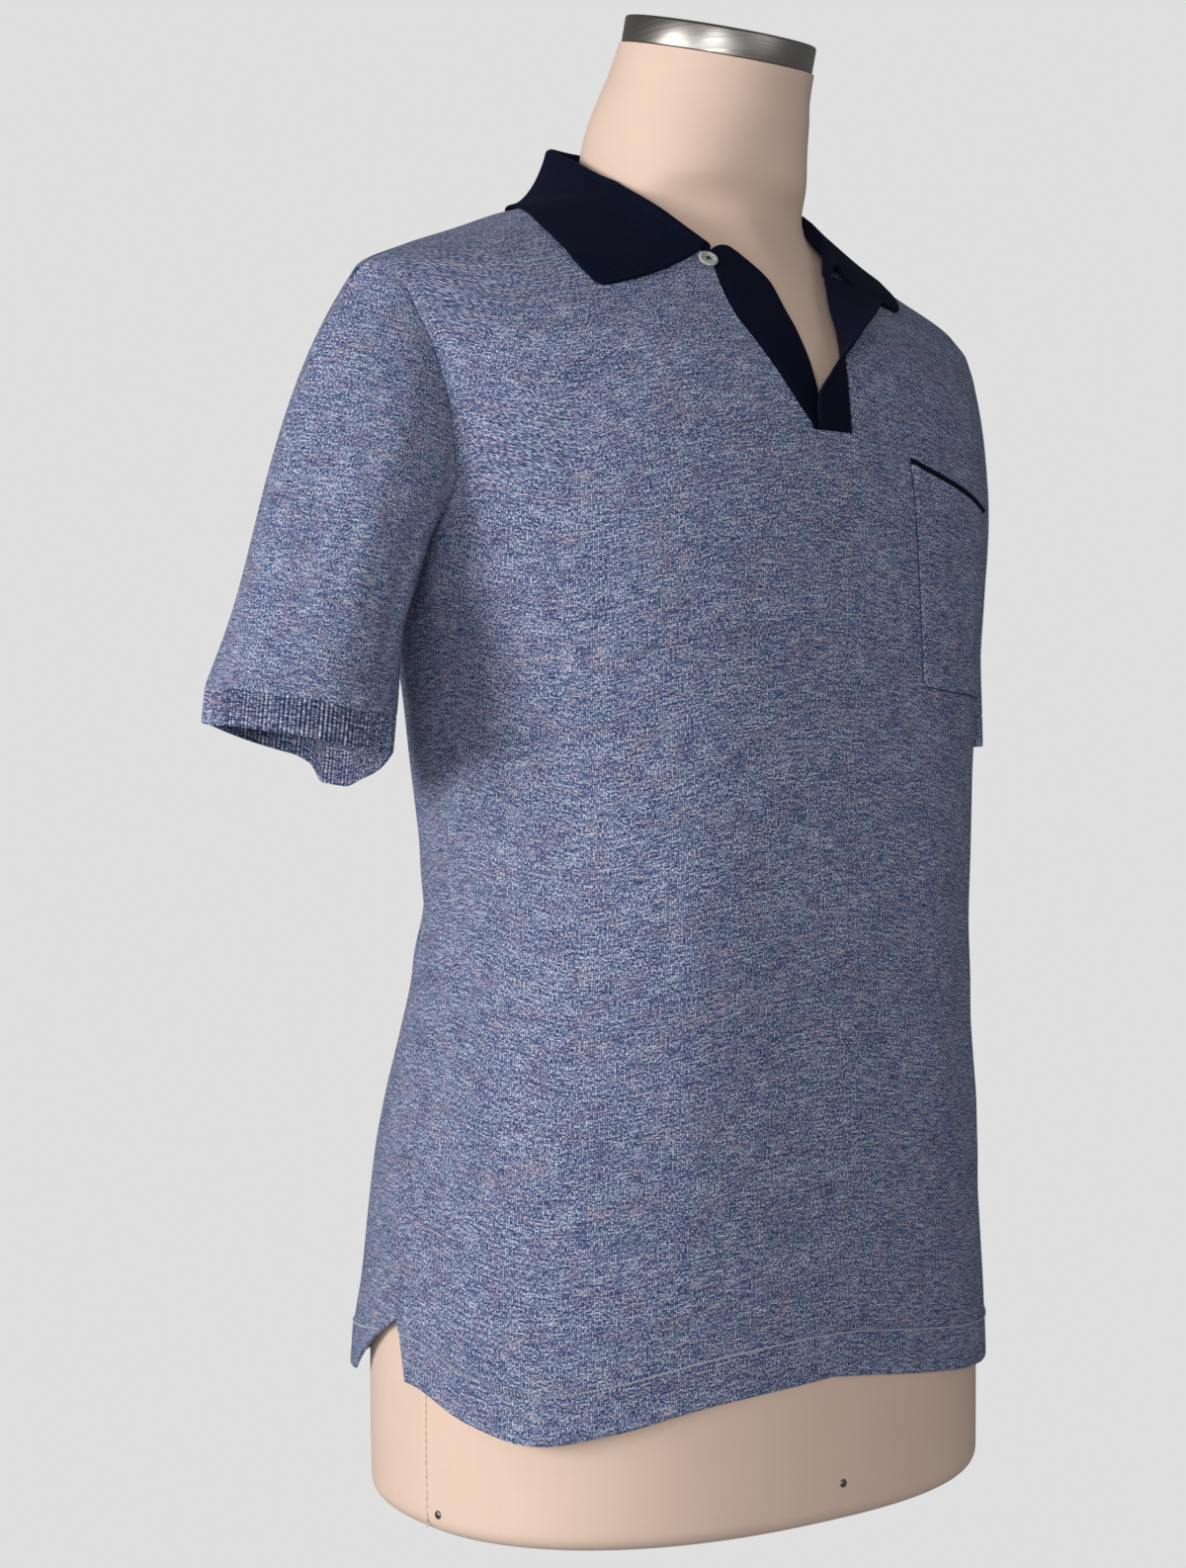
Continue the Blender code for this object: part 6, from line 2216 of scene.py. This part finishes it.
@dataclass(frozen=True)
class Studio:
    """Camera at the photograph's angle, pale sweep and soft lights. Lengths are in metres."""

    eye: tuple[float, float, float] = (-0.8927, -1.1426, 0.398)
    gaze: tuple[float, float, float] = (0.5836, 0.8120, 0.0)
    photo_height_px: float = 1586.0
    focal_px: float = 2546.0
    sensor_mm: float = 36.0
    floor_radius: float = 3.2
    sweep_radius: float = 1.2
    wall_height: float = 4.0
    sweep_sides: int = 96
    # Where the lamps point, their light's tint, and the dim sky's tint and strength
    lit_point: tuple[float, float, float] = (0.0, 0.0, 0.42)
    lamp_tint: tuple[float, float, float] = (1.0, 0.985, 0.965)
    sky_tint: tuple[float, float, float, float] = (0.95, 0.97, 1.0, 1.0)
    sky_strength: float = 0.18
    # name, place, size, power
    lamps: tuple[tuple[str, tuple[float, float, float], float, float], ...] = (
        ("key", (-2.6, 0.1, 0.75), 1.2, 50.0),
        ("front", (-1.9, -2.1, 0.5), 1.3, 29.0),
        ("right", (0.7, -2.6, 1.2), 1.6, 6.0))

    def build(self) -> None:
        """Make the camera, the sweep, the lights and the world."""
        self.camera()
        self.sweep()
        self.lights()

    def camera(self) -> None:
        """Place the camera."""
        data = bpy.data.cameras.new("photo_camera")
        data.sensor_fit = "VERTICAL"
        data.sensor_height = self.sensor_mm
        data.sensor_width = self.sensor_mm
        data.lens = self.focal_px * self.sensor_mm / self.photo_height_px
        data.clip_end = 50.0
        camera = bpy.data.objects.new("photo_camera", data)
        camera.location = self.eye
        camera.rotation_euler = Vector(self.gaze).to_track_quat("-Z", "Y").to_euler()
        bpy.context.collection.objects.link(camera)
        bpy.context.scene.camera = camera

    def sweep(self) -> None:
        """Make the floor that curves up into a wall all round, lit by itself."""
        arc = [(self.floor_radius + self.sweep_radius * math.sin(t), self.sweep_radius * (1 - math.cos(t)))
               for t in np.radians(np.linspace(0, 90, 13))]
        profile = [(0.0, 0.0), (1.0, 0.0), *arc, (self.floor_radius + self.sweep_radius, self.wall_height)]
        sides = self.sweep_sides
        points, faces = [(0.0, 0.0, 0.0)], []
        for radius, height in profile[1:]:
            points += [(radius * math.cos(t), radius * math.sin(t), height)
                       for t in np.arange(sides) / sides * 2 * math.pi]
        for i in range(sides):
            j = (i + 1) % sides
            faces.append((0, 1 + i, 1 + j))
            for ring in range(len(profile) - 2):
                low, high = 1 + ring * sides, 1 + (ring + 1) * sides
                faces.append((low + i, high + i, high + j, low + j))
        mesh = bpy.data.meshes.new("pale_sweep")
        mesh.from_pydata(points, [], faces)
        mesh.shade_smooth()
        # The photograph's ground is one even grey: it glows by itself and only the camera sees it
        paper, _, _ = start_material(
            "backdrop_even_grey", 1.0, Specular_IOR_Level=0.0, Base_Color=linear("#000000"),
            Emission_Color=linear("#dfdfdf"), Emission_Strength=1.0)
        sweep = link("pale_sweep", mesh, paper)
        sweep.visible_diffuse = sweep.visible_glossy = sweep.visible_shadow = False

    def lights(self) -> None:
        """Make a key light on the camera's left, weaker ones in front and on the right, and a dim sky."""
        for name, place, size, power in self.lamps:
            data = bpy.data.lights.new(name, "AREA")
            data.shape, data.size, data.energy = "DISK", size, power
            data.color = self.lamp_tint
            light = bpy.data.objects.new(name, data)
            light.location = place
            way = Vector(self.lit_point) - Vector(place)
            light.rotation_euler = way.to_track_quat("-Z", "Y").to_euler()
            bpy.context.collection.objects.link(light)
        world = bpy.data.worlds.new("studio_air")
        world.use_nodes = True
        background = world.node_tree.nodes["Background"]
        background.inputs["Color"].default_value = self.sky_tint
        background.inputs["Strength"].default_value = self.sky_strength
        bpy.context.scene.world = world
        bpy.context.scene.view_settings.view_transform = "Standard"


# ---------------------------------------------------------------- putting it together


def report(objects: Iterable[bpy.types.Object]) -> None:
    """Make each piece ride on the part's one body and log its size.

    Args:
        objects: the pieces.
    """
    for made in objects:
        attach(made, BODY)
        LOG.info("%s: %d faces", made.name, len(made.data.polygons))


def main() -> None:
    """Build the shirt, the form and the studio."""
    logging.basicConfig(level=logging.INFO, format="%(message)s")
    finishes = Finishes()
    Studio().build()
    armhole = Armhole()
    sleeves = {
        Side.RIGHT: Sleeve(Side.RIGHT, armhole, centre=(257.5, 5.0, 412.5), slope=18.0, lean=6.0,
                           half_across=49.0, half_along=56.0, turn=0.0, bow_top=58.0, bow_end=34.0),
        Side.LEFT: Sleeve(Side.LEFT, armhole, centre=(212.0, 32.0, 420.0), slope=3.0, lean=2.0,
                          half_across=30.0, half_along=66.0, turn=25.0, bow_top=45.0, bow_end=0.0),
    }
    panels = BodyPanels(sleeves, armhole)
    neck, form = Neck(panels), DressForm()
    made = form.build(finishes)
    made += [panels.build_front(finishes), panels.build_back(finishes)]
    made += [panels.build_hem(panel, finishes) for panel in Panel]
    for sleeve in sleeves.values():
        made += sleeve.build(finishes)
    made += [neck.build_collar(finishes), neck.build_right_strip(finishes), neck.build_left_strip(finishes)]
    made += Pocket().build(finishes)
    made += Button().build(finishes)
    runs = [StitchRun(f"hem_linking_{panel.value}", panels.seam_line(panel), pitch=1.9, length=2.5,
                      radius=0.55, look=finishes.pale_yarn, slant=0.7, jitter=0.5) for panel in Panel]
    runs.append(StitchRun("form_side_seam", form.seam_path(), pitch=3.8, length=3.3, radius=0.5,
                          look=finishes.linen_thread, slant=0.35, jitter=0.5))
    made += [run.build() for run in runs]
    report(made)


if __name__ == "__main__":
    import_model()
    main()
